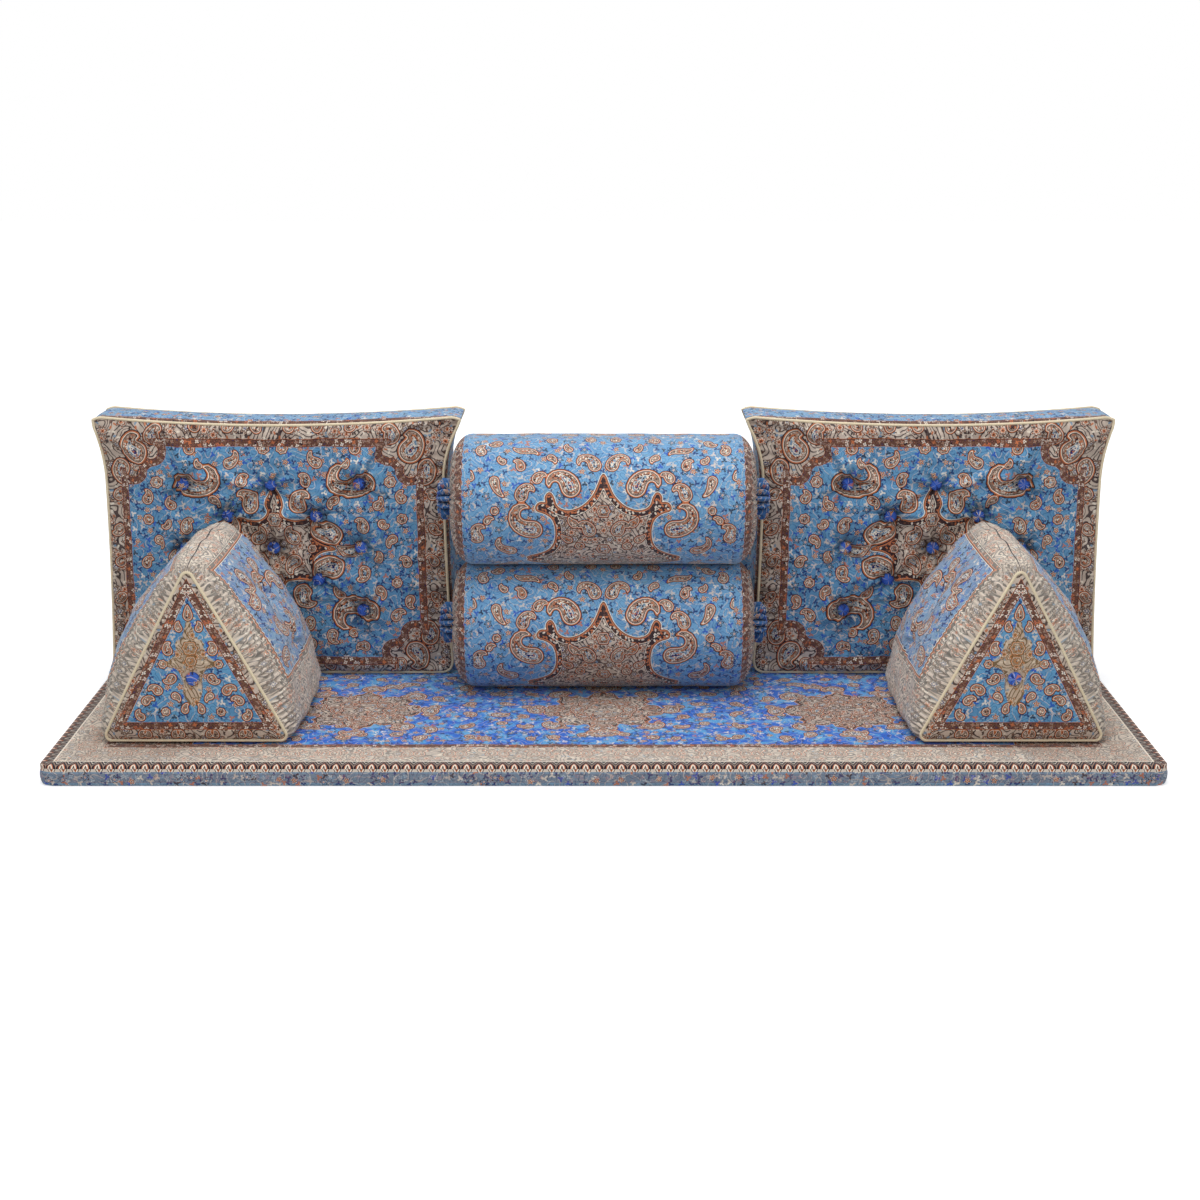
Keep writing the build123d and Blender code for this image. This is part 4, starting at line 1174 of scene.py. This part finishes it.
# Bolsters: rolls of packed cotton in a sewn tube of brocade. Each end is gathered into the
# middle under a pleated rosette with a covered button.
bolster_radius, bolster_half, bolster_rim, bolster_shoulder = 0.1275, 0.293, 0.042, 0.066
bolster_axis_y, bolster_rest, rest_ease, zip_side_share = 0.098, 0.1225, 0.0024, 0.98
cloth_radius = 0.125
bolster_levels = {"lower": mattress_top + cloth_radius, "upper": mattress_top + (3 * cloth_radius + lay_gap)}


def pressed_flat(grid):
    """A roll's points about its axis, flattened softly where it rests on what is below and
    carries what is above, and a little less round at the back, where the zip holds it."""
    over_rest = np.clip(np.abs(grid[..., 2]) - bolster_rest, 0, None)
    eased_rest = rest_ease * (1 - np.exp(-over_rest / rest_ease))
    grid[..., 2] -= np.sign(grid[..., 2]) * (over_rest - eased_rest)
    grid[..., 1] *= np.where(grid[..., 1] > 0, zip_side_share, 1.0)
    return grid


border_start, end_stripe = 0.28, (0.2688, 0.2886)


def bolster_layers(tree, cloth, read):
    """Light blue field with the half medallion, up to a guard stripe at each end and the beige
    border gathered over it."""
    side, turned = parts_of(tree, cloth)
    side = number(tree, "ABSOLUTE", side)
    ground = number(tree, "MULTIPLY_ADD", above(tree, side, border_start), -1.0, read("ground"))
    # The colour is darkened by painted shade in the hollows of the gathered ends.
    woven = lay_group(tree, brocade, {
        "Cloth": cloth, "Motif": read("motif"), "Ground": ground, "Painted_shade": read("crease_and_painted_shade"),
        "Field": dye(120, 174, 214), "Deep": dye(48, 96, 164)})
    colour = toned(tree, woven["Colour"], below(tree, ground, 0.0), 0.14, earth)
    return stripe(tree, side, turned, *end_stripe, colour), woven["Height"]


def rosette_layers(tree, cloth, read):
    """Pleated blue cloth with a little of its pattern."""
    # The colour is darkened by painted shade between the pleats.
    woven = lay_group(tree, brocade, {
        "Cloth": cloth, "Field": dye(70, 120, 180), "Deep": dye(24, 42, 100), "Sprays": 0.9,
        "Painted_shade": read("crease_and_painted_shade")})
    return woven["Colour"], woven["Height"]


bolster_cloth = cloth_finish("bolster_brocade", bolster_layers, 0.6, 0.0006, 0.4)
rosette_cloth = cloth_finish("rosette_cloth", rosette_layers)

# The drops of half a roll, whose places are (along from its middle, round from its front), and
# the outline of half its medallion.
bolster_motifs = [
    (0.0617, 0.0489, 0.0175, 0.066, 72, -170), (0.0161, 0.0919, 0.0115, 0.052, 77, -180),
    (0.1329, -0.0318, 0.0165, 0.088, 0, 200), (0.1548, 0.0340, 0.0115, 0.036, 100, 150),
    (0.2056, 0.0610, 0.0085, 0.036, 260, -50), (0.2315, 0.1243, 0.0090, 0.022, 60, 120),
    (0.1441, 0.1261, 0.0065, 0.024, 180, 60), (0.1520, 0.1261, 0.0065, 0.022, 0, 60),
    (0.1561, 0.0894, 0.0080, 0.022, 90, -120), (0.1253, 0.0654, 0.0090, 0.022, 120, 100),
    (0.2398, -0.0495, 0.0115, 0.040, 60, 160), (0.1758, -0.0838, 0.0095, 0.050, 10, 120),
    (0.2502, 0.0672, 0.0060, 0.014, 90, 0), (0.0979, 0.1608, 0.0095, 0, 0, 0),
    (0.0240, 0.1637, 0.0090, 0, 0, 0), (0.0, 0.0043, 0.0115, 0, 0, 0),
    (0.0267, -0.0343, 0.0120, 0.032, 80, -150), (0.0, -0.079, 0.0120, 0, 0, 0),
    (0.055, -0.020, 0.0075, 0.018, 30, 60), (0.066, -0.055, 0.0070, 0.02, 30, 30),
    (0.045, -0.070, 0.0085, 0, 0, 0), (0.205, 0.005, 0.0070, 0, 0, 0),
    (0.22, -0.015, 0.006, 0.016, 120, 100), (0.1, 0.11, 0.0065, 0.018, 200, 90),
    (0.065, 0.13, 0.0065, 0.018, 40, 90), (0.2, 0.15, 0.0075, 0.02, 300, 120),
    (0.19, 0.1, 0.006, 0.016, 20, 100),
] + sown(3, (0.0, 0.19), (0.25, 0.40), 0.048, 0.009)
medallion_half = [
    (-0.03, 0.0776), (0.0, 0.0776), (0.0089, 0.0532), (0.0182, 0.0319), (0.0372, 0.0128),
    (0.0584, 0.0043), (0.0753, 0.0043), (0.0901, 0.0128), (0.0945, 0.0300), (0.1016, 0.0400),
    (0.1100, 0.0300), (0.1050, 0.0180), (0.1218, 0.0210), (0.1290, 0.0064), (0.1092, 0.0020),
    (0.0924, -0.0110), (0.0876, -0.0392), (0.0931, -0.0694), (0.1107, -0.0896), (0.1560, -0.1080),
    (0.1107, -0.1200), (-0.03, -0.1300),
]

tube_waver, tube_crease, tube_ease = 0.0006, 0.0009, 0.0004
around = np.linspace(-math.pi, math.pi, 241)
tube_end = bolster_half - bolster_rim
tube_x = np.linspace(-tube_end, tube_end, 178)[:, None]
tube_swell = tube_waver * ripple(tube_x, 0 * around, 0.4, 5)
tube_swell = tube_swell + tube_crease * ripple(tube_x * 0.6, np.sin(around) * 0.13, 0.05, 9)
tube_reach = bolster_radius + tube_swell * np.clip((tube_end - np.abs(tube_x)) / 0.06, 0, 1) - tube_ease
tube_grid = pressed_flat(np.stack(
    [tube_x + 0 * around, -tube_reach * np.cos(around), tube_reach * np.sin(around)], axis=-1))
tube_cloth = np.stack(np.broadcast_arrays(tube_x, cloth_radius * around), axis=-1)

# The pattern is drawn for one half and folded over the middle, and over the medallion's axis.
medallion_axis = -0.113
fold_u, turned_v = np.abs(tube_cloth[..., 0]), tube_cloth[..., 1]
fold_v = medallion_axis + np.abs(turned_v - medallion_axis)
tube_fields = {
    "motif": drops(fold_u, np.where(turned_v < medallion_axis, fold_v, turned_v), bolster_motifs),
    "ground": outline_gap(fold_u, fold_v, eased(medallion_half)),
    # No painted shade on the tube.
    "crease_and_painted_shade": 0 * fold_u,
}

# An end: a quarter round up to rim_share of the profile, then gathers drawn to the middle.
rim_share, end_hollow, end_hole, gathers, gather_depth = 0.42, 0.008, 0.004, 44, 0.0022
cap_share = np.linspace(0, 1, 34)
rim_turn = np.clip(cap_share / rim_share, 0, 1) * math.pi / 2
inward = np.clip((cap_share - rim_share) / (1 - rim_share), 0, 1)
cap_reach = np.where(
    cap_share < rim_share,
    bolster_radius - bolster_shoulder * (1 - np.cos(rim_turn)),
    (bolster_radius - bolster_shoulder) * (1 - inward) + end_hole,
)
cap_x = np.where(
    cap_share < rim_share,
    tube_end + bolster_rim * np.sin(rim_turn),
    bolster_half - end_hollow * np.sin(inward * math.pi / 2) ** 2,
)
gather = np.cos(gathers * around + 1.2 * np.sin(3 * around))
gather_size = (gather_depth * np.sin(math.pi * cap_share) ** 0.8)[:, None]
cap_run = np.concatenate([[0.0], np.cumsum(np.hypot(np.diff(cap_reach), np.diff(cap_x)))])[:, None]
cap_x, cap_reach = cap_x[:, None] + gather_size * gather, cap_reach[:, None]
cap_grid = pressed_flat(np.stack(
    [cap_x, -cap_reach * np.cos(around), cap_reach * np.sin(around)], axis=-1))
cap_cloth = np.stack(np.broadcast_arrays(tube_end + cap_run, cloth_radius * around), axis=-1)
cap_fields = {
    "motif": np.full(cap_grid.shape[:2], 1.0),
    "ground": np.full(cap_grid.shape[:2], 0.3),
    # Painted shade in the hollows of the gathers, deeper towards the middle.
    "crease_and_painted_shade": np.clip(-gather, 0, 1) * cap_share[:, None],
}

# A rosette: a low bell of cloth with seven pleats, and a covered button in its middle.
petal_radius, petal_height, petal_pleats, pleat_depth = 0.042, 0.036, 7, 0.34
rosette_sink, rosette_stud = 0.006, 0.86
petal_around = np.linspace(0, 2 * math.pi, 169)
petal_share = np.linspace(0, 1, 26)
petal_stations = [0, 0.25, 0.5, 0.78, 1.0]
petal_reach = petal_radius * np.interp(petal_share, petal_stations, [0.62, 0.96, 1.0, 0.7, 0.22])[:, None]
petal_level = petal_height * np.interp(petal_share, petal_stations, [0.0, 0.22, 0.62, 0.95, 0.78])[:, None]
pleat = np.abs(np.sin(petal_pleats * petal_around + 0.25 * np.sin(2 * petal_around)))
pleat_size = pleat_depth * np.sin(math.pi * np.clip(petal_share, 0.02, 0.98))[:, None]
petal_reach = petal_reach * (1 - pleat_size * (1 - pleat))
petal_level = petal_level + 0.004 * (pleat - 0.5) * np.sin(math.pi * petal_share)[:, None]
rosette_grid = np.stack(
    [petal_level, petal_reach * np.cos(petal_around), petal_reach * np.sin(petal_around)], axis=-1)
rosette_run = np.stack(np.broadcast_arrays(0.08 * petal_share[:, None], petal_radius * petal_around), axis=-1)
# Painted shade in the hollows between the pleats.
rosette_painted_shade = np.broadcast_to(1.5 * (1 - pleat) ** 2, rosette_grid.shape[:2])
rosette_dome = dome_points(0.010, 0.002, 0.005, 8, 24)
stud_grid = rosette_dome[..., [2, 0, 1]] + np.array([rosette_stud * petal_height, 0.0, 0.0])

for level_name, level in bolster_levels.items():
    name = f"bolster_{level_name}"
    centre = np.array([0.0, bolster_axis_y, level])
    pad = sew(
        f"{name}_roll",
        [
            patch(tube_grid + centre, tube_cloth, 0, tube_fields, True),
            patch(cap_grid + centre, cap_cloth, 0, cap_fields, True),
            patch(cap_grid * np.array([-1.0, 1.0, 1.0]) + centre, cap_cloth, 0, cap_fields),
        ],
        [bolster_cloth],
    )
    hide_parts(f"{name}_core", f"{name}_cover", f"{name}_left_end", f"{name}_right_end")
    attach(pad, name)
    for side, sign in (("left", -1), ("right", 1)):
        seat = np.array([sign * (bolster_half - rosette_sink), bolster_axis_y, level])
        faces = np.array([sign, 1.0, 1.0])
        rosette = sew(
            f"{name}_{side}_flower",
            [
                patch(rosette_grid * faces + seat, rosette_run, 0, {"crease_and_painted_shade": rosette_painted_shade}, sign > 0),
                patch(stud_grid * faces + seat, rosette_dome[..., :2], 1, {}, sign > 0),
            ],
            [rosette_cloth, button_cloth],
        )
        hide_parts(f"{name}_{side}_rosette")
        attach(rosette, name)


# Wedge arm cushions: three-cornered prisms of fibre round a firm core. The long wrap is
# gathered into the piped seam of each triangular end, and a button draws each end in.
wedge_middle_x, wedge_front_y, wedge_length = 0.740, -0.258, 0.362
wedge_end = {
    "half_base": 0.1665, "height": 0.321, "bow": 0.002, "foot": 0.013, "ridge": 0.013, "lift": 0.004,
}
wedge_middle = {
    "half_base": 0.186, "height": 0.341, "bow": 0.034, "foot": 0.032, "ridge": 0.050, "lift": 0.0,
}
wedge_button = np.array([0.0, 0.125])
hem_stripe, ridge_line = 0.0145, 0.0012


def wedge_layers(tree, cloth, read):
    """Beige along the ridge, the feet and both end seams; blue with drops on the sides."""
    ground = read("ground")
    # The colour is darkened by painted shade in the pleats by the end seams.
    woven = lay_group(tree, brocade, {
        "Cloth": cloth, "Motif": read("motif"), "Ground": ground, "Painted_shade": read("crease_and_painted_shade"),
        "Field": dye(142, 174, 202), "Deep": dye(66, 102, 182)})
    down, _ = parts_of(tree, cloth)
    pale = toned(tree, woven["Colour"], below(tree, ground, 0.0), 0.25, cream)
    return over(tree, below(tree, down, ridge_line), pale, dark), woven["Height"]


def end_layers(tree, cloth, read):
    """Blue triangle with a spray of blossom, inside a guard stripe and, below, a beige hem."""
    gap, ground = read("frame_gap"), read("ground")
    woven = lay_group(tree, brocade, {
        "Cloth": cloth, "Motif": read("motif"), "Ground": ground, "Field": dye(104, 164, 206),
        "Deep": dye(42, 86, 150)})
    hem = toned(tree, woven["Colour"], below(tree, gap, 0.0), 0.2, dye(112, 78, 44))
    blossom = times(tree, below(tree, ground, 0.0), above(tree, ground, -0.5))
    colour = toned(tree, hem, blossom, 0.34, dye(184, 146, 84))
    return stripe(tree, gap, read("pace"), -hem_stripe, 0.0, colour), woven["Height"]


wedge_cloth = cloth_finish("wedge_brocade", wedge_layers)
wedge_end_cloth = cloth_finish("wedge_end", end_layers)

# The drops of one side, whose places are (down from the ridge, along from the front end).
wedge_motifs = [
    (0.095, 0.105, 0.014, 0.05, 40, -150), (0.150, 0.070, 0.012, 0.045, 100, 150),
    (0.150, 0.150, 0.019, 0.075, 170, -170), (0.210, 0.110, 0.015, 0.055, 20, 150),
    (0.100, 0.210, 0.013, 0.045, 300, 150), (0.160, 0.250, 0.016, 0.055, 200, 150),
    (0.220, 0.200, 0.017, 0.06, 340, -160), (0.260, 0.270, 0.013, 0.045, 100, 150),
    (0.260, 0.080, 0.012, 0.04, 250, 150), (0.095, 0.290, 0.012, 0.04, 60, 150),
    (0.215, 0.300, 0.012, 0.04, 150, -150), (0.270, 0.160, 0.011, 0.035, 180, 150),
]


def wedge_loop(shape, counts, inset=0.0):
    """Points (x, z) of a triangle with round corners and bowed sides, once round from the
    middle of the base. Each side is an arc that meets both corner arcs without a kink."""
    ridge = np.array([0.0, shape["lift"] + shape["height"] - shape["ridge"]])
    foot = np.array([shape["half_base"] - shape["foot"], shape["lift"] + shape["foot"]])
    span = np.hypot(*(foot - ridge))
    slope = math.atan2(ridge[1] - foot[1], ridge[0] - foot[0])
    radius = span ** 2 / (8 * shape["bow"]) + shape["bow"] / 2 + max(shape["foot"], shape["ridge"])
    to_foot, to_ridge = radius - shape["foot"], radius - shape["ridge"]
    chord = (to_foot ** 2 - to_ridge ** 2 + span ** 2) / (2 * span)
    rise = math.sqrt(to_foot ** 2 - chord ** 2)
    up_slope = np.array([math.cos(slope), math.sin(slope)])
    centre = foot + chord * up_slope + rise * np.array([-up_slope[1], up_slope[0]])
    foot_turn = math.atan2(foot[1] - centre[1], foot[0] - centre[0])
    ridge_turn = math.atan2(ridge[1] - centre[1], ridge[0] - centre[0])
    base_count, foot_count, side_count, ridge_count = counts
    base_x = np.linspace(0, foot[0], base_count)
    pieces = [np.column_stack([base_x, np.full(base_count, shape["lift"] + inset)])]
    for middle, size, start, end, count in (
        (foot, shape["foot"] - inset, -math.pi / 2, foot_turn, foot_count),
        (centre, radius - inset, foot_turn, ridge_turn, side_count),
        (ridge, shape["ridge"] - inset, ridge_turn, math.pi / 2, ridge_count),
    ):
        angle = np.linspace(start, end, count)[1:]
        pieces.append(middle + size * np.column_stack([np.cos(angle), np.sin(angle)]))
    right = np.concatenate(pieces)
    left = right[-2::-1] * np.array([-1.0, 1.0])
    return np.concatenate([right, left])


loop_counts = (40, 22, 150, 26)
end_loop = wedge_loop(wedge_end, loop_counts, seam_inset)
middle_loop = wedge_loop(wedge_middle, loop_counts)
even_share, wave_reach = np.linspace(-1, 1, 104), 0.985 * math.pi / 2
wedge_share = 0.55 * np.sin(even_share * wave_reach) / math.sin(wave_reach) + 0.45 * even_share
fullness = ((1 - np.abs(wedge_share) ** 3.2) ** 0.55)[:, None]
wrap_loops = end_loop + (middle_loop - end_loop) * fullness[..., None]
wrap_y = (wedge_front_y + wedge_length * (wedge_share + 1) / 2)[:, None]
loop_out = np.roll(middle_loop, -1, axis=0) - np.roll(middle_loop, 1, axis=0)
loop_out[0] = loop_out[-1] = (1.0, 0.0)
loop_out = np.column_stack([loop_out[:, 1], -loop_out[:, 0]])
loop_out /= np.linalg.norm(loop_out, axis=1)[:, None]
wrap_run = loop_pace(middle_loop)
wrap_run = np.abs(wrap_run - wrap_run[-1] / 2)

# Pleats run in from both end seams, and two tufts draw each side in.
pleat_pitch, pleat_height, pleat_reach, pleat_start, wrap_waver = 0.0105, 0.0030, 0.034, 0.004, 0.0035
tuft_levels, tuft_depth, tuft_reach, tuft_ease = (0.145, 0.240), 0.017, 0.02, 0.003
tuft_fold, tuft_fold_reach = 0.003, 0.015
seam_gap = (np.minimum(wedge_share + 1, 1 - wedge_share) * wedge_length / 2)[:, None]
pleats = np.sin(2 * math.pi * wrap_run / pleat_pitch + 2.2 * ripple(wrap_run, seam_gap * 0.3, 0.06, 31))
pleat_fade = np.exp(-(seam_gap / pleat_reach) ** 1.6) * np.clip(seam_gap / pleat_start, 0, 1)
wrap_swell = pleat_height * pleats * (1 + 0.4 * ripple(wrap_run, seam_gap, 0.03, 33)) * pleat_fade
wrap_swell = wrap_swell + wrap_waver * ripple(wrap_run, seam_gap, 0.11, 37) * fullness
on_side = np.abs(middle_loop[:, 0]) > 0.02
from_middle = (wedge_share * wedge_length / 2)[:, None]
for tuft_level in tuft_levels:
    from_tuft = wrap_loops[..., 1] - tuft_level
    clear = np.clip(np.hypot(from_tuft, from_middle) - tuft_ease, 0, None)
    wrap_swell = wrap_swell - on_side * tuft_depth * np.exp(-clear / tuft_reach)
    folds = np.cos(7 * np.arctan2(from_tuft, from_middle) + tuft_level * 40 + np.sign(middle_loop[:, 0]))
    away = clear / tuft_fold_reach
    wrap_swell = wrap_swell + on_side * tuft_fold * folds * away * np.exp(1 - away)
rest_share = np.clip(wrap_loops[..., 1] / 0.02, 0, 1)
wrap_loops = wrap_loops + loop_out * (wrap_swell * rest_share)[..., None]
wrap_loops[..., 1] = np.maximum(wrap_loops[..., 1], 0.0)
wrap_grid = np.stack(
    np.broadcast_arrays(wrap_loops[..., 0], wrap_y, wrap_loops[..., 1] + mattress_top), axis=-1)
wrap_cloth = np.stack(np.broadcast_arrays(wrap_run, wrap_y - wedge_front_y), axis=-1)

# The blue panel of a side: its middle and half width down the slope, and the end borders.
panel_middle, panel_half, panel_border, panel_ease = 0.172, 0.122, 0.040, 0.004
wrap_down, wrap_along = wrap_cloth[..., 0], wrap_cloth[..., 1]
side_field = np.maximum(
    np.abs(wrap_down - panel_middle) - panel_half,
    np.abs(wrap_along - wedge_length / 2) - (wedge_length / 2 - panel_border),
)
wrap_fields = {
    "motif": np.where(side_field < -panel_ease, drops(wrap_down, wrap_along, wedge_motifs), 1.0),
    "ground": -side_field,
    # Painted shade in the hollows of the pleats, fading away from the end seams.
    "crease_and_painted_shade": np.clip(-pleats, 0, 1) * pleat_fade,
}

# An end panel: rings of points from the button out to the seam, pressed out by the filling.
end_crown, end_waver, end_floor, end_dip_reach = 0.014, 0.0012, 0.003, 0.016
end_fold, end_fold_reach = 0.0014, 0.012
end_share = np.linspace(0, 1, 44)[:, None]
end_points = wedge_button + (end_loop - wedge_button) * end_share[..., None]
end_x, end_z = end_points[..., 0], end_points[..., 1]
end_clear = np.clip(np.hypot(end_x - wedge_button[0], end_z - wedge_button[1]) - button_ease, 0, None)
end_heading = np.arctan2(end_z - wedge_button[1], end_x - wedge_button[0])
end_swell = end_crown * np.sqrt(1 - end_share ** 5)
end_swell = end_swell + end_waver * ripple(end_x, end_z, 0.09, 41) * (1 - end_share ** 4)
end_dip = np.exp(-(end_clear / end_dip_reach) ** 1.05)
end_swell = end_swell - np.clip(end_swell - end_floor, 0, None) * end_dip
end_away = end_clear / end_fold_reach
end_folds = np.cos(6 * end_heading + 0.7) * end_away * np.exp(1 - end_away)
end_swell = end_swell + end_fold * end_folds
end_grid = np.stack([end_x, wedge_front_y - end_swell, end_z + mattress_top], axis=-1)
end_rear_grid = np.stack([end_x, wedge_front_y + wedge_length + end_swell, end_z + mattress_top], axis=-1)

# Its pattern: a frame along both slopes and above the hem, and half of the spray's outline.
slope_border, hem_height = 0.020, 0.045
side_slope = np.array([wedge_end["height"], wedge_end["half_base"]])
side_slope /= np.linalg.norm(side_slope)
side_gap = np.abs(end_x) * side_slope[0] + (end_z - wedge_end["height"] - wedge_end["lift"]) * side_slope[1]
from_slope, from_hem = side_gap + slope_border, hem_height - end_z
end_frame = np.maximum(from_slope, from_hem)
spray_half = [
    (-0.02, 0.245), (0.0, 0.245), (0.008, 0.225), (0.012, 0.205), (0.028, 0.200), (0.024, 0.180),
    (0.034, 0.165), (0.052, 0.160), (0.040, 0.148), (0.024, 0.145), (0.018, 0.120), (0.020, 0.100),
    (0.008, 0.075), (-0.02, 0.065),
]
end_motifs = [
    (0.0, 0.185, 0.012, 0, 0, 0), (0.0, 0.160, 0.009, 0, 0, 0),
    (0.040, 0.180, 0.008, 0.02, 60, 120), (0.050, 0.155, 0.007, 0, 0, 0),
    (0.036, 0.128, 0.008, 0.018, 300, 120), (0.062, 0.105, 0.008, 0.022, 60, -140),
    (0.032, 0.095, 0.006, 0.015, 200, 90), (0.085, 0.085, 0.007, 0.02, 120, 130),
    (0.050, 0.065, 0.007, 0, 0, 0), (0.095, 0.055, 0.007, 0.018, 30, 130),
    (0.015, 0.068, 0.006, 0.016, 80, 100), (0.0, 0.245, 0.008, 0.02, 90, 0),
    (0.018, 0.222, 0.006, 0.014, 60, 90), (0.025, 0.018, 0.0055, 0.014, 110, -110),
    (0.037, 0.018, 0.0055, 0.014, 70, 110), (0.085, 0.018, 0.0055, 0.014, 110, -110),
    (0.097, 0.018, 0.0055, 0.014, 70, 110),
]
spray_gap = outline_gap(np.abs(end_x), end_z, eased(spray_half))
end_fields = {
    "frame_gap": -end_frame,
    "pace": np.where(from_slope > from_hem, end_z, end_x),
    "motif": drops(np.abs(end_x), end_z, end_motifs),
    "ground": np.where(end_frame > 0, -1.0, np.where(spray_gap < 0, -0.1, 1.0)),
}
wedge_cord_turns, wedge_stud_seat, wedge_stud_cloth = 170, 0.003, (0.31, 0.17)
cord_path = wedge_loop(wedge_end, loop_counts, piping_radius)[:-1] + np.array([0.0, mattress_top])
wedge_front_cord, wedge_rear_cord = [
    cord_ring(cord_path, cord_y, piping_radius, cord_sides, wedge_cord_turns)
    for cord_y in (wedge_front_y - piping_radius, wedge_front_y + wedge_length + piping_radius)
]
for side, sign in (("left", -1), ("right", 1)):
    name = f"wedge_{side}"
    pad = sew(
        f"{name}_pad",
        [
            patch(placed(wrap_grid, sign, wedge_middle_x), wrap_cloth, 0, wrap_fields, sign < 0),
            patch(placed(end_grid, sign, wedge_middle_x), end_points, 1, end_fields, sign < 0),
            patch(placed(end_rear_grid, sign, wedge_middle_x), end_points, 1, end_fields, sign > 0),
        ],
        [wedge_cloth, wedge_end_cloth],
    )
    parts = ("core", "wrap", "front_end_panel", "back_end_panel", "tuft_twines")
    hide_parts(*[f"{name}_{part}" for part in parts])
    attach(pad, name)
    for part, ring_grid in (("front", wedge_front_cord), ("back", wedge_rear_cord)):
        ring = patch(placed(ring_grid, sign, wedge_middle_x), cord_cloth(ring_grid), 0, {}, sign < 0)
        cord = sew(f"{name}_{part}_cord", [ring], [piping_cloth])
        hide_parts(f"{name}_{part}_piping")
        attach(cord, name)
    studs = []
    for seat_y, facing in (
        (wedge_front_y - wedge_stud_seat, -1), (wedge_front_y + wedge_length + wedge_stud_seat, 1),
    ):
        seat = (wedge_button[0], seat_y, wedge_button[1] + mattress_top)
        cloth_place = np.array(wedge_stud_cloth) * np.array([facing, sign])
        studs.append(stud_patch(seat, facing, cloth_place, sign, wedge_middle_x))
    buttons = sew(f"{name}_studs", studs, [button_cloth])
    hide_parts(f"{name}_buttons")
    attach(buttons, name)


# Zips: a woven tape sewn into the seam, its chain of teeth down the middle, and a slider and
# pull of die-cast metal in an antique brass plating, worn and finely scratched.


def speckle(tree, place, scale, detail=2.0):
    """Noise through a solid, about 0.5."""
    node = tree.nodes.new("ShaderNodeTexNoise")
    node.inputs["Scale"].default_value = scale
    node.inputs["Detail"].default_value = detail
    wire(tree, place, node.inputs["Vector"])
    return node.outputs["Fac"]


def solid_finish(name, rough, metallic, draw):
    """A material in object coordinates for a solid that stays: draw(tree, place) gives its
    colour, roughness and height sockets."""
    material = bpy.data.materials.new(name)
    material.use_nodes = True
    tree = material.node_tree
    shader = tree.nodes["Principled BSDF"]
    where = tree.nodes.new("ShaderNodeTexCoord")
    colour, roughness, height = draw(tree, where.outputs["Object"])
    wire(tree, colour, shader.inputs["Base Color"])
    wire(tree, number(tree, "MULTIPLY_ADD", roughness, 0.3, rough), shader.inputs["Roughness"])
    shader.inputs["Metallic"].default_value = metallic
    lift = tree.nodes.new("ShaderNodeBump")
    lift.inputs["Distance"].default_value = 0.0002
    lift.inputs["Strength"].default_value = 0.6
    wire(tree, height, lift.inputs["Height"])
    wire(tree, lift.outputs[0], shader.inputs["Normal"])
    return material


def tape_draw(tree, place):
    """Ribbed threads of a dyed tape, in two shades of navy."""
    ribs = tree.nodes.new("ShaderNodeTexWave")
    ribs.inputs["Scale"].default_value = 700.0
    ribs.inputs["Distortion"].default_value = 1.5
    wire(tree, place, ribs.inputs["Vector"])
    shade = number(
        tree, "MULTIPLY_ADD", speckle(tree, place, 900.0), 0.5, times(tree, ribs.outputs["Fac"], 0.5))
    navies = [(0.1, dye(18, 24, 48)), (0.9, dye(70, 84, 122))]
    return bands(tree, shade, 0.1, 0.9, navies, "LINEAR"), shade, shade


def metal_draw(tree, place):
    """Antique brass, darker in patches, with fine scratches."""
    worn = speckle(tree, place, 260.0, 4.0)
    scratch = speckle(tree, stretched(tree, place, (300.0, 5000.0, 5000.0)), 1.0)
    marks = number(tree, "MULTIPLY_ADD", scratch, 0.4, times(tree, worn, 0.6))
    brasses = [(0.3, dye(116, 92, 60)), (0.7, dye(214, 190, 140))]
    return bands(tree, marks, 0.3, 0.7, brasses, "LINEAR"), worn, marks


tape_cloth = solid_finish("zip_tape_cloth", 0.65, 0.0, tape_draw)
zip_brass = solid_finish("zip_brass", 0.2, 1.0, metal_draw)
for owner in ("mattress", "bolster_lower", "bolster_upper"):
    for part, finish in (("zip_tape", tape_cloth), ("zip_slider", zip_brass), ("zip_pull", zip_brass)):
        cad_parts[f"{owner}_{part}"].material_slots[0].material = finish
